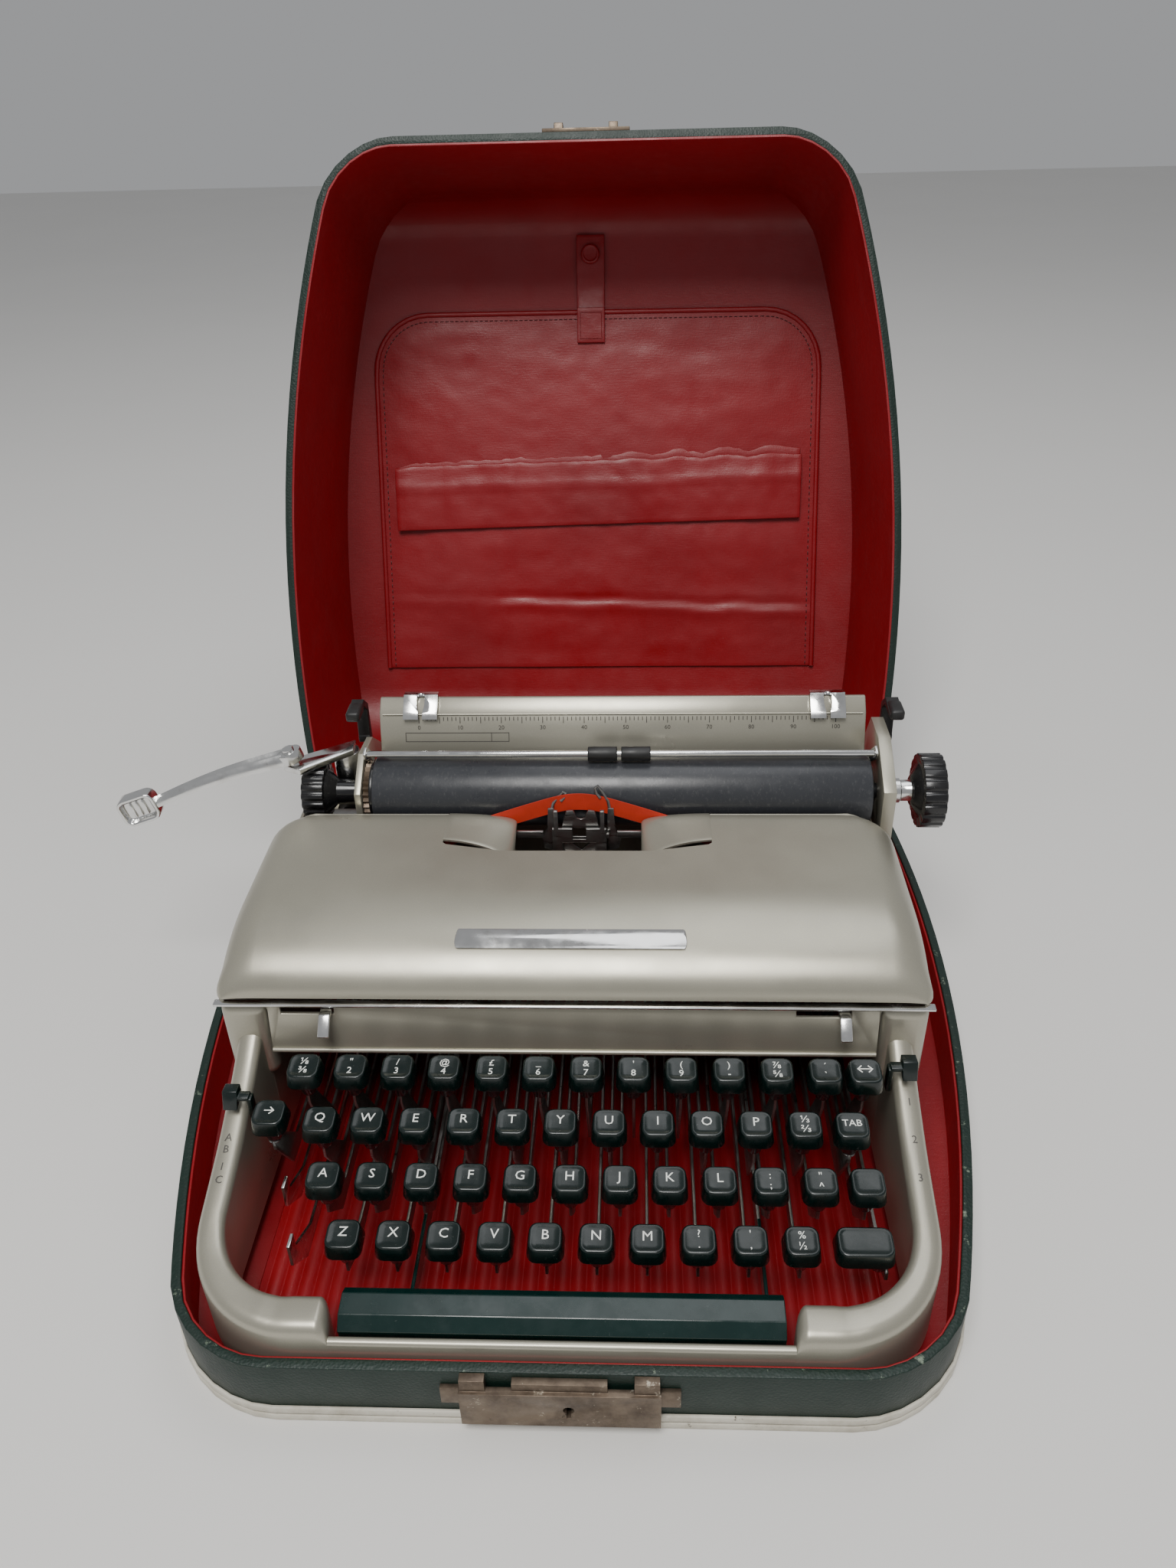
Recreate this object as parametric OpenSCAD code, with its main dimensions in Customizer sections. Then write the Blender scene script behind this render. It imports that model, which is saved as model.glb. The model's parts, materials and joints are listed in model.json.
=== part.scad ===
// Portable typewriter in its own fitted carrying case, lid open.
// Millimetres. X to the typist's right, Y away from the typist, Z up.
// The origin is the centre of the case tray's underside.

/* [Case] */
// Depth of the case from front to hinge
case_l = 374; // [360:1:390]
// Height of the tray's rim
rim_z = 31.3; // [28:0.1:34]
// Depth of the lid's shell
lid_d = 138; // [136:1:145]
// Half width of the case at the middle of its length
case_half = 181.2; // [180:0.1:186]
// Wall of tray and lid
case_wall = 4; // [3:0.5:5]
// Thickness of the vinyl lining
lining_t = 1.2; // [0.8:0.1:1.5]
// Angle that the open lid leans back from upright
lid_lean = 18; // [16:0.5:18]
// Corner radius at the front of the case, seen from above
case_corner = 34; // [32:1:40]

/* [Machine] */
// Width of the machine's body
body_w = 296; // [290:1:300]
// Front of the machine's frame
frame_front = -181; // [-181.5:0.1:-178]
// Rear of the machine's body
body_rear = 98; // [96:1:104]
// Height of the chrome trim strip under the hood
strip_z = 95; // [92:1:97]
// Height of the hood's flat top
hood_z = 119.5; // [116:0.5:119.5]
// Rear edge of the hood
hood_rear = 37; // [34:0.5:38]

/* [Keyboard] */
// Distance between neighbouring keys
pitch = 19.05; // [18.5:0.05:19.2]
// Width of a key cap
cap_w = 14; // [13:0.5:15]

/* [Carriage] */
// Platen radius
platen_r = 17; // [15:0.5:17.5]
// Platen length
platen_l = 239; // [230:1:242]
// Sideways offset of the carriage, which rests just right of centre
carriage_x = 19.5; // [15:0.5:20]
// Height of the platen's axis
platen_z = 118; // [117:0.5:119]

/* [Hidden] */
$fn = 48;

// Case
hinge_y = case_l/2;
hinge_r = 2.2;
hinge_gap = 0.6;              // between the closed lid's rim and the tray's rim
lid_angle = 90 + lid_lean;
lid_rear_r = 45;              // rounding of the lid's edge next to the hinge
lid_front_r = 30;
inner = case_wall + lining_t;

// Machine
base_z = 12;                  // underside of the frame, on its rubber feet
arm_in = 131;
arm_out = 141.5;
front_r = 44;                 // outer corner of the frame seen from above
sheet = 1.6;
hood_front = -68;
hood_end_r = 17;
hood_hinge_r = 0.9;            // rolled rear edge of the hood, which it hinges on
platen_y = 58;
platen_left = carriage_x - platen_l/2;
platen_right = carriage_x + platen_l/2;
shaft_r = 3.5;
bore_gap = 0.06;
rail_y = [80, 92.8];
rail_z = 91;
rail_d = 5;
beam_z = 100.3;
knob_r = 18;

// Keyboard: each row is [y, z of the cap's top, x of the first key, number of keys]
rows = [[-89.4, 81, -107.3, 13], [-108.5, 71.5, -97.8, 12], [-127.6, 62, -93.5, 12],
        [-146.7, 52.5, -83, 10]];
fulcrum = [64, 22];           // y, z of the rod that carries the key levers
fulcrum_r = 2.5;
lever_t = 1.2;
lever_z = 27;
lever_h = 6;
space_arm_x = [-57.6, 75.8];

// Half width of the case's outline at distance s from the hinge
function half_at(s) = let (t = (s - 170)/170) case_half - 11*t - 18.1*t*t - t*t*t;
// Loss of half width in a rounded corner of radius r, at distance d from the edge
function corner_loss(d, r) = d >= r ? 0 : r - sqrt(max(0, r*r - (r - d)*(r - d)));
// Points on the right side of the outline, moved in by m
function right_side(m) = [for (i = [0:32])
    let (k = i/32, s = m + (case_l - 2*m)*(1 - cos(180*k))/2,
         front = case_l - m - s, back = s - m)
    [half_at(s) - m - corner_loss(front, case_corner - m) - corner_loss(back, 12), hinge_y - s]];
function mirrored(p) = [for (i = [len(p) - 1:-1:0]) [-p[i][0], p[i][1]]];
module outline(m) {
    polygon(concat(right_side(m), mirrored(right_side(m))));
}
// An arc of points
function arc(c, r, a0, a1, n = 10) = [for (i = [0:n]) let (a = a0 + (a1 - a0)*i/n)
    [c[0] + r*cos(a), c[1] + r*sin(a)]];
// Extrudes a Y-Z outline along X, from x0 to x1
module along_x(x0, x1) {
    translate([x0, 0, 0]) rotate([90, 0, 90]) linear_extrude(x1 - x0) children();
}
// Extrudes an X-Z outline along Y, from y0 to y1
module along_y(y0, y1) {
    translate([0, y1, 0]) rotate([90, 0, 0]) linear_extrude(y1 - y0) children();
}
module rod_x(x0, x1, y, z, r) {
    translate([x0, y, z]) rotate([0, 90, 0]) cylinder(h = x1 - x0, r = r);
}
module block(lo, hi) {
    translate(lo) cube(hi - lo);
}
// A rectangle with round corners
module rounded(w, h, r) {
    polygon(concat(arc([w/2 - r, h/2 - r], r, 0, 90, 5), arc([-w/2 + r, h/2 - r], r, 90, 180, 5),
        arc([-w/2 + r, -h/2 + r], r, 180, 270, 5), arc([w/2 - r, -h/2 + r], r, 270, 360, 5)));
}

// ---- Case ----
module case_tray() {
    color("#173a30") difference() {
        linear_extrude(rim_z) outline(0);
        translate([0, 0, 3.5]) linear_extrude(rim_z) outline(case_wall);
        rod_x(-60, 60, hinge_y, rim_z, hinge_r + 1.2);
    }
}
module case_tray_lining() {
    color("#8c1119") translate([0, 0, 3.5]) difference() {
        linear_extrude(rim_z - 4.5) outline(case_wall);
        translate([0, 0, lining_t]) linear_extrude(rim_z) outline(inner);
    }
}
// Two cords of white piping round the tray's lower edge
module case_tray_piping() {
    color("#d8d2c0") for (z = [0, 4.4]) translate([0, 0, z]) linear_extrude(3.4)
        difference() { outline(-1.4); outline(0); }
}
// Places children that are drawn for the closed lid, with s along the lid's depth towards the
// front as -Y and the shell's depth as +Z, at the open lid
module on_open_lid() {
    translate([0, hinge_y, rim_z]) rotate([-lid_angle, 0, 0]) translate([0, -hinge_y, 0])
        children();
}
module lid_form(m) {
    r1 = lid_rear_r - m;
    r2 = lid_front_r - m;
    top = lid_d - m;
    intersection() {
        linear_extrude(top) outline(m);
        along_x(-200, 200) polygon(concat([[-hinge_y - 1, -1], [hinge_y + 1, -1]],
            arc([hinge_y - m - r1, top - r1], r1, 0, 90), arc([-hinge_y + m + r2, top - r2], r2, 90, 180)));
    }
}
// The shell between two insets of the lid's form, open at the rim
module lid_shell(outer_m, inner_m) {
    difference() {
        lid_form(outer_m);
        lid_form(inner_m);
        translate([0, 0, -1]) linear_extrude(1 + hinge_gap) outline(-5);
    }
}
module case_lid() {
    color("#173a30") on_open_lid() difference() {
        lid_shell(0, case_wall);
        rod_x(-60, 60, hinge_y, 0, hinge_r + 1.2);
    }
}
module case_lid_lining() {
    color("#8c1119") on_open_lid() lid_shell(case_wall, inner);
}
lid_floor = lid_d - inner;   // the inner face of the lid's top panel
// The pocket and the band across it, in the closed lid's frame: the front is towards -Y
pocket_w = 151;
pocket_top = -114;
pocket_bottom = 126;
band_w = 280;
band_h = 43;
band_y = -17;
module lid_pocket() {
    color("#9a1820") on_open_lid() {
        translate([0, 0, lid_floor - 2.4]) linear_extrude(2.4)
            polygon(concat(arc([-pocket_w + 38, pocket_top + 38], 38, 180, 270, 6),
                arc([pocket_w - 38, pocket_top + 38], 38, 270, 360, 6),
                [[pocket_w + 2, pocket_bottom], [-pocket_w - 2, pocket_bottom]]));
        translate([-band_w/2, band_y, lid_floor - 5.2]) cube([band_w, band_h, 2.8]);
    }
}
module pocket_strap() {
    color("#8c1119") on_open_lid() {
        translate([-10, -158, lid_floor - 2]) cube([20, 42, 1.9]);
        translate([0, -146, lid_floor - 4.4]) cylinder(h = 2.4, r = 6);
    }
}
// Knuckles of a hinge along X: every other one of n, starting with the first or the second
module knuckles(first) {
    for (i = [first:2:8]) difference() {
        rod_x(-58 + i*13, -58 + i*13 + 12.6, hinge_y, rim_z, hinge_r);
        if (first == 0) rod_x(-60, 60, hinge_y, rim_z, 1.1 + bore_gap);
    }
}
module tray_hinge_leaf() {
    color("#8f8a80") {
        knuckles(0);
        difference() {
            block([-60, hinge_y, rim_z - 16], [60, hinge_y + 1.2, rim_z - hinge_r - 0.1]);
            for (x = [-45, -15, 15, 45]) translate([x, hinge_y + 2, rim_z - 10]) rotate([90, 0, 0])
                cylinder(h = 4, r = 1.5);
        }
        for (i = [0:2:8]) block([-58 + i*13, hinge_y, rim_z - hinge_r - 0.3],
            [-58 + i*13 + 12.6, hinge_y + 1.2, rim_z - 1.3]);
    }
}
module lid_hinge_leaf() {
    color("#8f8a80") {
        knuckles(1);
        rod_x(-58, 58.6, hinge_y, rim_z, 1.1);
        on_open_lid() {
            block([-60, hinge_y + 0.1, hinge_r + 1.6], [60, hinge_y + 1.2, 16]);
            for (i = [1:2:7]) block([-58 + i*13, hinge_y + 0.1, 1.3],
                [-58 + i*13 + 12.6, hinge_y + 1.2, hinge_r + 2]);
        }
    }
}
module lock_plate() {
    color("#6d5f4c") translate([0, -hinge_y, 0]) {
        difference() {
            block([-36, -4.6, 6], [36, -1.5, 25]);
            translate([3, 0, 16]) rotate([90, 0, 0]) cylinder(h = 8, r = 2);
            block([2.2, -8, 11], [3.8, 0, 16]);
        }
        for (x = [-31, 31]) block([x - 4.5, -3.4, 24], [x + 4.5, -0.1, 31]);
        block([-17, -3, 24], [17, -0.1, 29]);
        block([-43, -2, 15], [-35, -0.1, 24]);
        block([35, -2, 15], [43, -0.1, 24]);
    }
}
module lid_catch() {
    color("#9a7a45") on_open_lid() {
        block([-24, -hinge_y - 2.2, 1.6], [24, -hinge_y - 0.1, 16]);
        for (x = [-15, 15]) block([x - 2.5, -hinge_y - 5.2, 2.5], [x + 2.5, -hinge_y - 2.1, 10]);
    }
}
handle_z = 46;                // the handle's pivot, measured up the lid's front wall
module handle_brackets() {
    color("#9a7a45") on_open_lid() for (x = [-62, 62]) difference() {
        union() {
            block([x - 9, -hinge_y - 1.6, handle_z - 8], [x + 9, -hinge_y - 0.1, handle_z + 8]);
            block([x - 3, -hinge_y - 7, handle_z - 4], [x + 3, -hinge_y - 1.5, handle_z + 4]);
        }
        rod_x(x - 10, x + 10, -hinge_y - 4.6, handle_z, 1.6);
    }
}
module carry_handle() {
    color("#1d2a24") on_open_lid() {
        for (side = [-1, 1]) {
            rod_x(side*62 - 9, side*62 + 9, -hinge_y - 4.6, handle_z, 1.5);
            block([side*54 - 2.5 - side*2.6, -hinge_y - 7.5, handle_z - 1.5],
                  [side*54 + 2.5 - side*2.6, -hinge_y - 2.2, handle_z + 22]);
            block([side*70 - 2.5 + side*2.6, -hinge_y - 7.5, handle_z - 1.5],
                  [side*70 + 2.5 + side*2.6, -hinge_y - 2.2, handle_z + 22]);
        }
        block([-75.5, -hinge_y - 9, handle_z + 20], [75.5, -hinge_y - 1.6, handle_z + 34]);
    }
}

// ---- Machine body ----
function frame_side(x, y_front, r) = concat(arc([x - r, y_front + r], r, -90, 0, 12), [[x, 100]]);
module frame_outline(x, y_front, r) {
    p = frame_side(x, y_front, r);
    polygon(concat(p, mirrored(p)));
}
// Height of the arms, from the front bar up to the body
module arm_profile() {
    polygon([[-190, base_z], [-190, 46], [-160, 46.4], [-148, 48], [-108, 60], [-80, 72], [-66, 80],
             [-66, base_z]]);
}
bay_half = 83.5;              // half width of the bay for the space bar
bay_lip_z = 37;               // top of the thin lip in front of the space bar
module base_frame() {
    color("#b9b6a6") difference() {
        union() {
            intersection() {
                translate([0, 0, base_z]) linear_extrude(90) difference() {
                    frame_outline(arm_out, frame_front, front_r);
                    frame_outline(arm_in, frame_front + 15, front_r - 14);
                }
                along_x(-150, 150) arm_profile();
            }
            for (side = [-1, 1]) {
                block([side*132.5 - 1.5, -66.5, base_z], [side*132.5 + 1.5, 92, 63.5]);
                block([side*132.5 - 1.5, -63.8, 63], [side*132.5 + 1.5, 92, 88]);
            }
            for (side = [-1, 1]) block([side*110 - 22, spool_y - 10, spool_z - 14.5],
                [side*110 + 22, spool_y + 10, spool_z - 12.5]);
            block([-131.5, 84, base_z], [131.5, 90, base_z + 14]);
            block([-131.5, 30, base_z - 2], [131.5, 36, base_z + 3]);
        }
        block([-bay_half, -177.6, 0], [bay_half, -160, 60]);
        block([-bay_half, -190, bay_lip_z], [bay_half, -160, 60]);
        rod_x(-140, 140, fulcrum[0], fulcrum[1], fulcrum_r);
        for (side = [-1, 1]) translate([side*spool_x, spool_y, 60]) cylinder(h = 20, r = 3 + bore_gap);
    }
}
body_r = 14;                  // rear corner of the body seen from above
module body_outline(m, y_front) {
    w = body_w/2 - 2;
    side = concat([[w - m, y_front]], arc([w - body_r, body_rear - body_r], body_r - m, 0, 90, 6));
    polygon(concat(side, mirrored(side)));
}
module body_shell() {
    w = body_w/2 - 2;
    shoulder = w - 9.6;       // middle of the narrow front wall beside the keys
    color("#b5b2a2") {
        difference() {
            translate([0, 0, base_z + 2]) linear_extrude(strip_z - 3 - base_z) difference() {
                body_outline(0, -65);
                body_outline(sheet, -70);
            }
            block([-w - 9, -66, base_z], [w + 9, -10, 26]);
        }
        for (side = [-1, 1]) block([side*shoulder - 9.6, -65.9, 64],
            [side*shoulder + 9.6, -64.1, strip_z - 1.2]);
    }
}
module front_panel() {
    color("#b5b2a2") difference() {
        union() {
            along_x(-126.4, 126.4) polygon([[-71, 72], [-69.2, 71], [-65.4, 93.8], [-67.2, 93.8]]);
            along_x(-126.4, 126.4) polygon([[-71, 72], [-71, 70.4], [-64, 68.4], [-64, 70]]);
        }
        for (x = [-121, 92.5]) block([x, -80, 88.6], [x + 22.5, -60, 92]);
    }
}
module trim_strip() {
    color("#dcdcda") block([-body_w/2, -70, strip_z - 1], [body_w/2, -66.5, strip_z + 0.4]);
}
module rubber_feet() {
    color("#20201e") for (x = [-120, 120], y = [-160, 87]) translate([x, y, inner - 0.5]) difference() {
        cylinder(h = base_z - inner + 0.5, r = 7);
        translate([0, 0, -1]) cylinder(h = 4, r = 3);
    }
}
module frame_screws() {
    color("#c9c9c4") for (side = [-1, 1], y = [-40, 80]) translate([side*(body_w/2 - 2), y, 40])
        rotate([0, side*90, 0]) difference() {
            cylinder(h = 1.4, r = 3.2);
            translate([-4, -0.5, 0.8]) cube([8, 1, 1]);
        }
}
module carriage_rails() {
    color("#a5a6a5") {
        for (y = rail_y) block([-131, y - rail_d/2, rail_z - rail_d], [131, y + rail_d/2, rail_z]);
        for (side = [-1, 1]) block([side*129.8 - 1.1, rail_y[0] - 6, 76],
            [side*129.8 + 1.1, rail_y[1] + 2.3, rail_z - rail_d]);
        difference() {
            block([drum_x - 12, rail_y[0], drum_z - 9], [drum_x + 12, rail_y[0] + 3, rail_z - 1]);
            translate([drum_x, 90, drum_z]) rotate([90, 0, 0]) cylinder(h = 12, r = 3 + bore_gap);
        }
    }
}
drum_x = -100;
drum_z = 62;
module mainspring_drum() {
    color("#8b8c8a") translate([drum_x, 70, drum_z]) rotate([90, 0, 0]) {
        difference() {
            cylinder(h = 14, r = 19);
            translate([0, 0, 2]) cylinder(h = 3.5, r = 20);
        }
        translate([0, 0, 1]) cylinder(h = 12, r = 17.5);
        translate([0, 0, -15.5]) cylinder(h = 16, r = 3);
    }
}
module fulcrum_rod() {
    color("#b0b0ae") rod_x(-131, 131, fulcrum[0], fulcrum[1], fulcrum_r - bore_gap);
}
module cover_latch(x) {
    color("#dcdcda") {
        block([x - 2.4, -71.6, 89.2], [x + 2.4, -62, 91.4]);
        along_x(x - 2.4, x + 2.4) polygon([[-71.6, 91.4], [-71.6, 89.2], [-77, 83.6], [-78, 85]]);
    }
}
module cover_latch_left() { cover_latch(-101.5); }
module cover_latch_right() { cover_latch(112); }
// A ribbon colour selector on the left arm and a touch selector on the right arm
module selector(side, y, z) {
    color("#14302a") {
        along_x(side*136.5 - 3, side*136.5 + 3)
            polygon([[y - 4, z], [y + 4, z + 3.4], [y + 4, z + 7], [y - 1, z + 7.5]]);
        block([side*129 - 1, y - 2, z - 8], [side*129 + 1, y + 2, z + 4]);
        block([min(side*129, side*135), y - 2, z + 3], [max(side*129, side*135), y + 2, z + 5]);
    }
}
module ribbon_selector() { selector(-1, -97, 67); }
module touch_selector() { selector(1, -84, 73.5); }

// ---- Hood ----
function hood_curve(m) = concat([[hood_front + m, strip_z + 1]],
    [for (i = [0:12]) let (a = 180 - 90*i/12)
        [hood_front + m + (46 - m)*(1 + cos(a)), strip_z + 1.5 + (hood_z - strip_z - 1.5 - m)*sin(a)]],
    [[hood_rear, hood_z - m], [hood_rear, strip_z + 1]]);
module hood_form(m) {
    w = body_w/2 - m;
    r = hood_end_r - m;
    side = concat([[w, strip_z]], arc([w - r, hood_z - m - r], r, 0, 90, 8));
    intersection() {
        along_x(-w, w) polygon(hood_curve(m));
        along_y(-100, 100) polygon(concat(side, mirrored(side)));
    }
}
module top_cover() {
    color("#bdbaa9") for (side = [-1, 1])
        rod_x(side*95 - 35, side*95 + 35, hood_rear + 0.6, hood_z - hood_hinge_r, hood_hinge_r);
    color("#bdbaa9") difference() {
        hood_form(0);
        translate([0, 0, -0.1]) hood_form(sheet);
        block([-200, hood_rear - 0.1, 80], [200, 60, 130]);
        block([-145, 20, 80], [145, 60, 110]);
        translate([2, 0, 100]) linear_extrude(30) polygon(concat([[42, 40], [-42, 40]],
            [for (i = [0:16]) let (a = 180 + 180*i/16) [42*cos(a), 26 + 22*sin(a)]]));
    }
}
module badge() {
    color("#d9dadb") intersection() {
        difference() { hood_form(-1.2); hood_form(0); }
        along_y(-80, -40) translate([0, 115]) rounded(96, 2.6, 1.3);
    }
}

// ---- Ribbon and type ----
spool_x = 104;
spool_y = 2;
spool_z = 84;
module spool() {
    for (z = [0, 10.4]) translate([0, 0, z]) difference() {
        cylinder(h = 1, r = 20);
        translate([0, 0, -1]) cylinder(h = 3, r = 3);
    }
    difference() {
        cylinder(h = 11, r = 13);
        translate([0, 0, -1]) cylinder(h = 13, r = 3);
    }
    translate([0, 0, -15.5]) cylinder(h = 28.5, r = 3);
    translate([0, 0, -12.2]) cylinder(h = 2, r = 5);
}
module ribbon_spool_left() { color("#3b3b3a") translate([-spool_x, spool_y, spool_z]) spool(); }
module ribbon_spool_right() { color("#3b3b3a") translate([spool_x, spool_y, spool_z]) spool(); }
ribbon_path = [[-88, 24], [-52, 30], [-30, 34], [-14, 36.2], [14, 36.2], [30, 34], [52, 30], [88, 24]];
ribbon_t = 0.4;
module ribbon() {
    color("#c8301e") translate([0, 0, 99]) linear_extrude(12.5)
        polygon(concat(ribbon_path,
            [for (i = [len(ribbon_path) - 1:-1:0]) ribbon_path[i] + [0, ribbon_t]]));
}
// The print point, and the segment's plane below it, tilted towards the typist
print_point = [0, 40, 116];
seg_tilt = 20;
seg_h = 30;
seg_r = 36;
bar_n = 43;
module in_segment() {
    translate(print_point) rotate([seg_tilt, 0, 0]) translate([0, 0, -seg_h]) children();
}
module segment() {
    color("#9b9c9a") in_segment() difference() {
        rotate_extrude(angle = 150, start = 195) translate([seg_r - 8, -9]) square([12, 11]);
        for (i = [0:bar_n - 1]) rotate([0, 0, -90 - 63 + 126*i/(bar_n - 1)])
            translate([seg_r - 6, -0.55, -5]) cube([12, 1.1, 9]);
    }
}
module typebars() {
    color("#8e8f8d") in_segment() for (i = [0:bar_n - 1]) rotate([0, 0, -90 - 63 + 126*i/(bar_n - 1)]) {
        translate([seg_r - 5, -0.4, -4]) cube([45, 0.8, 3.6]);
        translate([seg_r + 38, -1.6, -4.6]) cube([5, 3.2, 5.4]);
    }
}
module type_guide() {
    color("#8a8d90") {
        difference() {
            block([-13, 33.4, 92], [13, 35.2, 112]);
            block([-8, 30, 96], [8, 40, 104]);
            block([-3.2, 30, 106], [3.2, 40, 120]);
        }
        for (side = [-1, 1]) block([side*11 - 1, 33.4, 111], [side*11 + 1, 35.2, 122]);
        block([-13, 30, 86], [13, 35.2, 93]);
    }
}

// ---- Carriage ----
module roller_truck() {
    color("#9c9d9b") {
        block([-34, rail_y[0] - 3, 96.4], [34, rail_y[1] + 3, 99.8]);
        for (x = [-26, 26], y = rail_y) translate([x, y, rail_z + 2.85]) rotate([90, 0, 0])
            cylinder(h = 4, r = 2.6, center = true);
        for (x = [-26, 26], y = rail_y) block([x - 1.2, y - 0.9, rail_z + 2.85], [x + 1.2, y + 0.9, 97]);
    }
}
left_plate = platen_left - 8;
right_plate = platen_right + 4;
bail_pivot = [87, 112];
lever_pivot = [-117, 72];
fold_pivot = [-137, 54];
module carriage_frame() {
    color("#a9a89c") difference() {
        union() {
            block([left_plate, 75.8, beam_z], [right_plate + 5, 98, beam_z + 4]);
            along_x(left_plate, left_plate + 3) polygon([[42, 104], [50, beam_z], [98, beam_z],
                [98, 122], [80, 136], [60, 138], [42, 126]]);
            along_x(right_plate, right_plate + 6) polygon([[40, 102], [46, beam_z], [98, beam_z],
                [98, 124], [86, 143], [66, 143], [40, 128]]);
            block([-123.4, 64, 106], [left_plate + 1, 86, 110]);
        }
        rod_x(left_plate - 1, right_plate + 7, platen_y, platen_z, shaft_r + bore_gap);
        rod_x(left_plate - 1, right_plate + 7, bail_pivot[0], bail_pivot[1], 1.8 + bore_gap);
        translate([lever_pivot[0], lever_pivot[1], 100]) cylinder(h = 20, r = 3 + bore_gap);
    }
}
// The panel behind the platen, which leans back and rolls over at its top
module paper_table() {
    color("#c4c2b4") along_x(platen_left - 0.6, platen_right + 0.6)
        polygon([[76, beam_z + 4], [78, beam_z + 4], [78, 128], [84.5, 146], [91, 151.5], [91, 153],
                 [89, 153.4], [83, 148], [76, 128.6]]);
}
module platen() {
    color("#232427") {
        difference() {
            rod_x(platen_left, platen_right, platen_y, platen_z, platen_r);
            rod_x(platen_left - 1, platen_right + 1, platen_y, platen_z, shaft_r);
        }
    }
}
// The shaft, the two fluted knobs pressed on it and the collar at the platen's left end
knob_l = 10.5;
knob_flutes = 18;
module knob(x, r) {
    difference() {
        rod_x(x, x + knob_l, platen_y, platen_z, r);
        rod_x(x - 1, x + knob_l + 1, platen_y, platen_z, shaft_r + bore_gap);
        for (i = [1:knob_flutes]) translate([x - 1, platen_y, platen_z]) rotate([i*360/knob_flutes, 0, 0])
            translate([0, 0, r + 1]) rotate([0, 90, 0]) cylinder(h = knob_l + 2, r = 1.8);
    }
}
module platen_knobs() {
    color("#141414") {
        rod_x(platen_left - 30, platen_right + 27, platen_y, platen_z, shaft_r);
        knob(-135, 14);
        knob(163, knob_r);
        difference() {
            rod_x(platen_left - 1.6, platen_left - bore_gap, platen_y, platen_z, platen_r - 1.5);
            rod_x(platen_left - 3, platen_left + 1, platen_y, platen_z, shaft_r + bore_gap);
        }
    }
}
bail_rod = [57.4, 139.4];
bail_rod_r = 1.6;
module paper_bail() {
    color("#c9cacb") {
        rod_x(left_plate + 5.05, right_plate - 2.85, bail_rod[0], bail_rod[1], bail_rod_r);
        for (x = [left_plate + 3.6, right_plate - 2.8]) along_x(x, x + 1.4)
            polygon([bail_pivot + [-3, 4], bail_pivot + [3, -2], bail_pivot + [3, 4],
                bail_rod + [2, 3], bail_rod + [-3, 1.5], bail_rod + [-1, -3]]);
        rod_x(left_plate, left_plate + 3.55, bail_pivot[0], bail_pivot[1], 1.8);
        rod_x(right_plate - 1.35, right_plate + 4, bail_pivot[0], bail_pivot[1], 1.8);
    }
}
module bail_rollers() {
    color("#161616") for (x = [4, 20]) difference() {
        rod_x(x, x + 14, bail_rod[0], bail_rod[1], 3.6);
        rod_x(x - 1, x + 16, bail_rod[0], bail_rod[1], bail_rod_r + bore_gap);
    }
}
lever_top = 133.2;            // underside of the bracket's arm, above the left knob
lever_yaw = 6.5;
lever_drop = 17;              // the knuckle's pin leans out by this, so the folded arm lies level
lever_len = 80;
// Places children at the knuckle, upright along its leaning pin
module on_knuckle() {
    translate([fold_pivot[0], fold_pivot[1], lever_top]) rotate([0, -lever_drop, 0]) children();
}
module return_lever_bracket() {
    color("#cfd0d1") {
        translate([lever_pivot[0], lever_pivot[1], 104]) cylinder(h = 16, r = 3);
        translate([lever_pivot[0], lever_pivot[1], 110.3]) cylinder(h = lever_top - 110.35, r = 6.5);
        translate([0, 0, lever_top]) linear_extrude(3) polygon([[lever_pivot[0] + 4, lever_pivot[1] + 5],
            [lever_pivot[0] + 5, lever_pivot[1] - 5], [fold_pivot[0] + 3, fold_pivot[1] - 6],
            [fold_pivot[0] - 6, fold_pivot[1] - 2], [fold_pivot[0] - 4, fold_pivot[1] + 5]]);
        on_knuckle() translate([0, 0, 1]) cylinder(h = 10.5, r = 2.4);
    }
}
module return_lever_arm() {
    color("#cfd0d1") on_knuckle() difference() {
        union() {
            translate([0, 0, 5.2]) cylinder(h = 5.8, r = 6);
            rotate([0, 0, lever_yaw]) {
                translate([-lever_len, -3.6, 5.2]) cube([lever_len, 7.2, 3.4]);
                translate([-lever_len, 0, 0]) linear_extrude(15) rounded(19, 9, 3);
            }
        }
        translate([0, 0, -1]) cylinder(h = 20, r = 2.4 + bore_gap);
    }
}
module release_lever(x0, x1) {
    color("#3a3a3a") {
        along_x(x0, x1) polygon([[92, 126], [97, 126], [97, 146], [90, 152], [76, 150], [76, 148],
            [89, 148.6], [94, 144]]);
        rod_x(x0, x1, 94.5, 128, 2.8);
    }
}
module release_lever_left() { release_lever(-115.4, -109.4); }
module release_lever_right() { release_lever(149.6, 156); }
module margin_stop(x) {
    color("#d0d1d2") difference() {
        along_x(x - 8.5, x + 8.5) polygon([[80.3, 145.5], [82.4, 148.5], [88.6, 154], [91.5, 153.6],
            [91.5, 149.5], [92.7, 149.5], [92.7, 154.8], [88.4, 155.3], [81.4, 149.2], [79.2, 146.2]]);
        translate([x, 84, 150]) rotate([-35, 0, 0]) cylinder(h = 20, r = 2, center = true);
    }
}
module margin_stop_left() { margin_stop(-80); }
module margin_stop_right() { margin_stop(121); }

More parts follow.
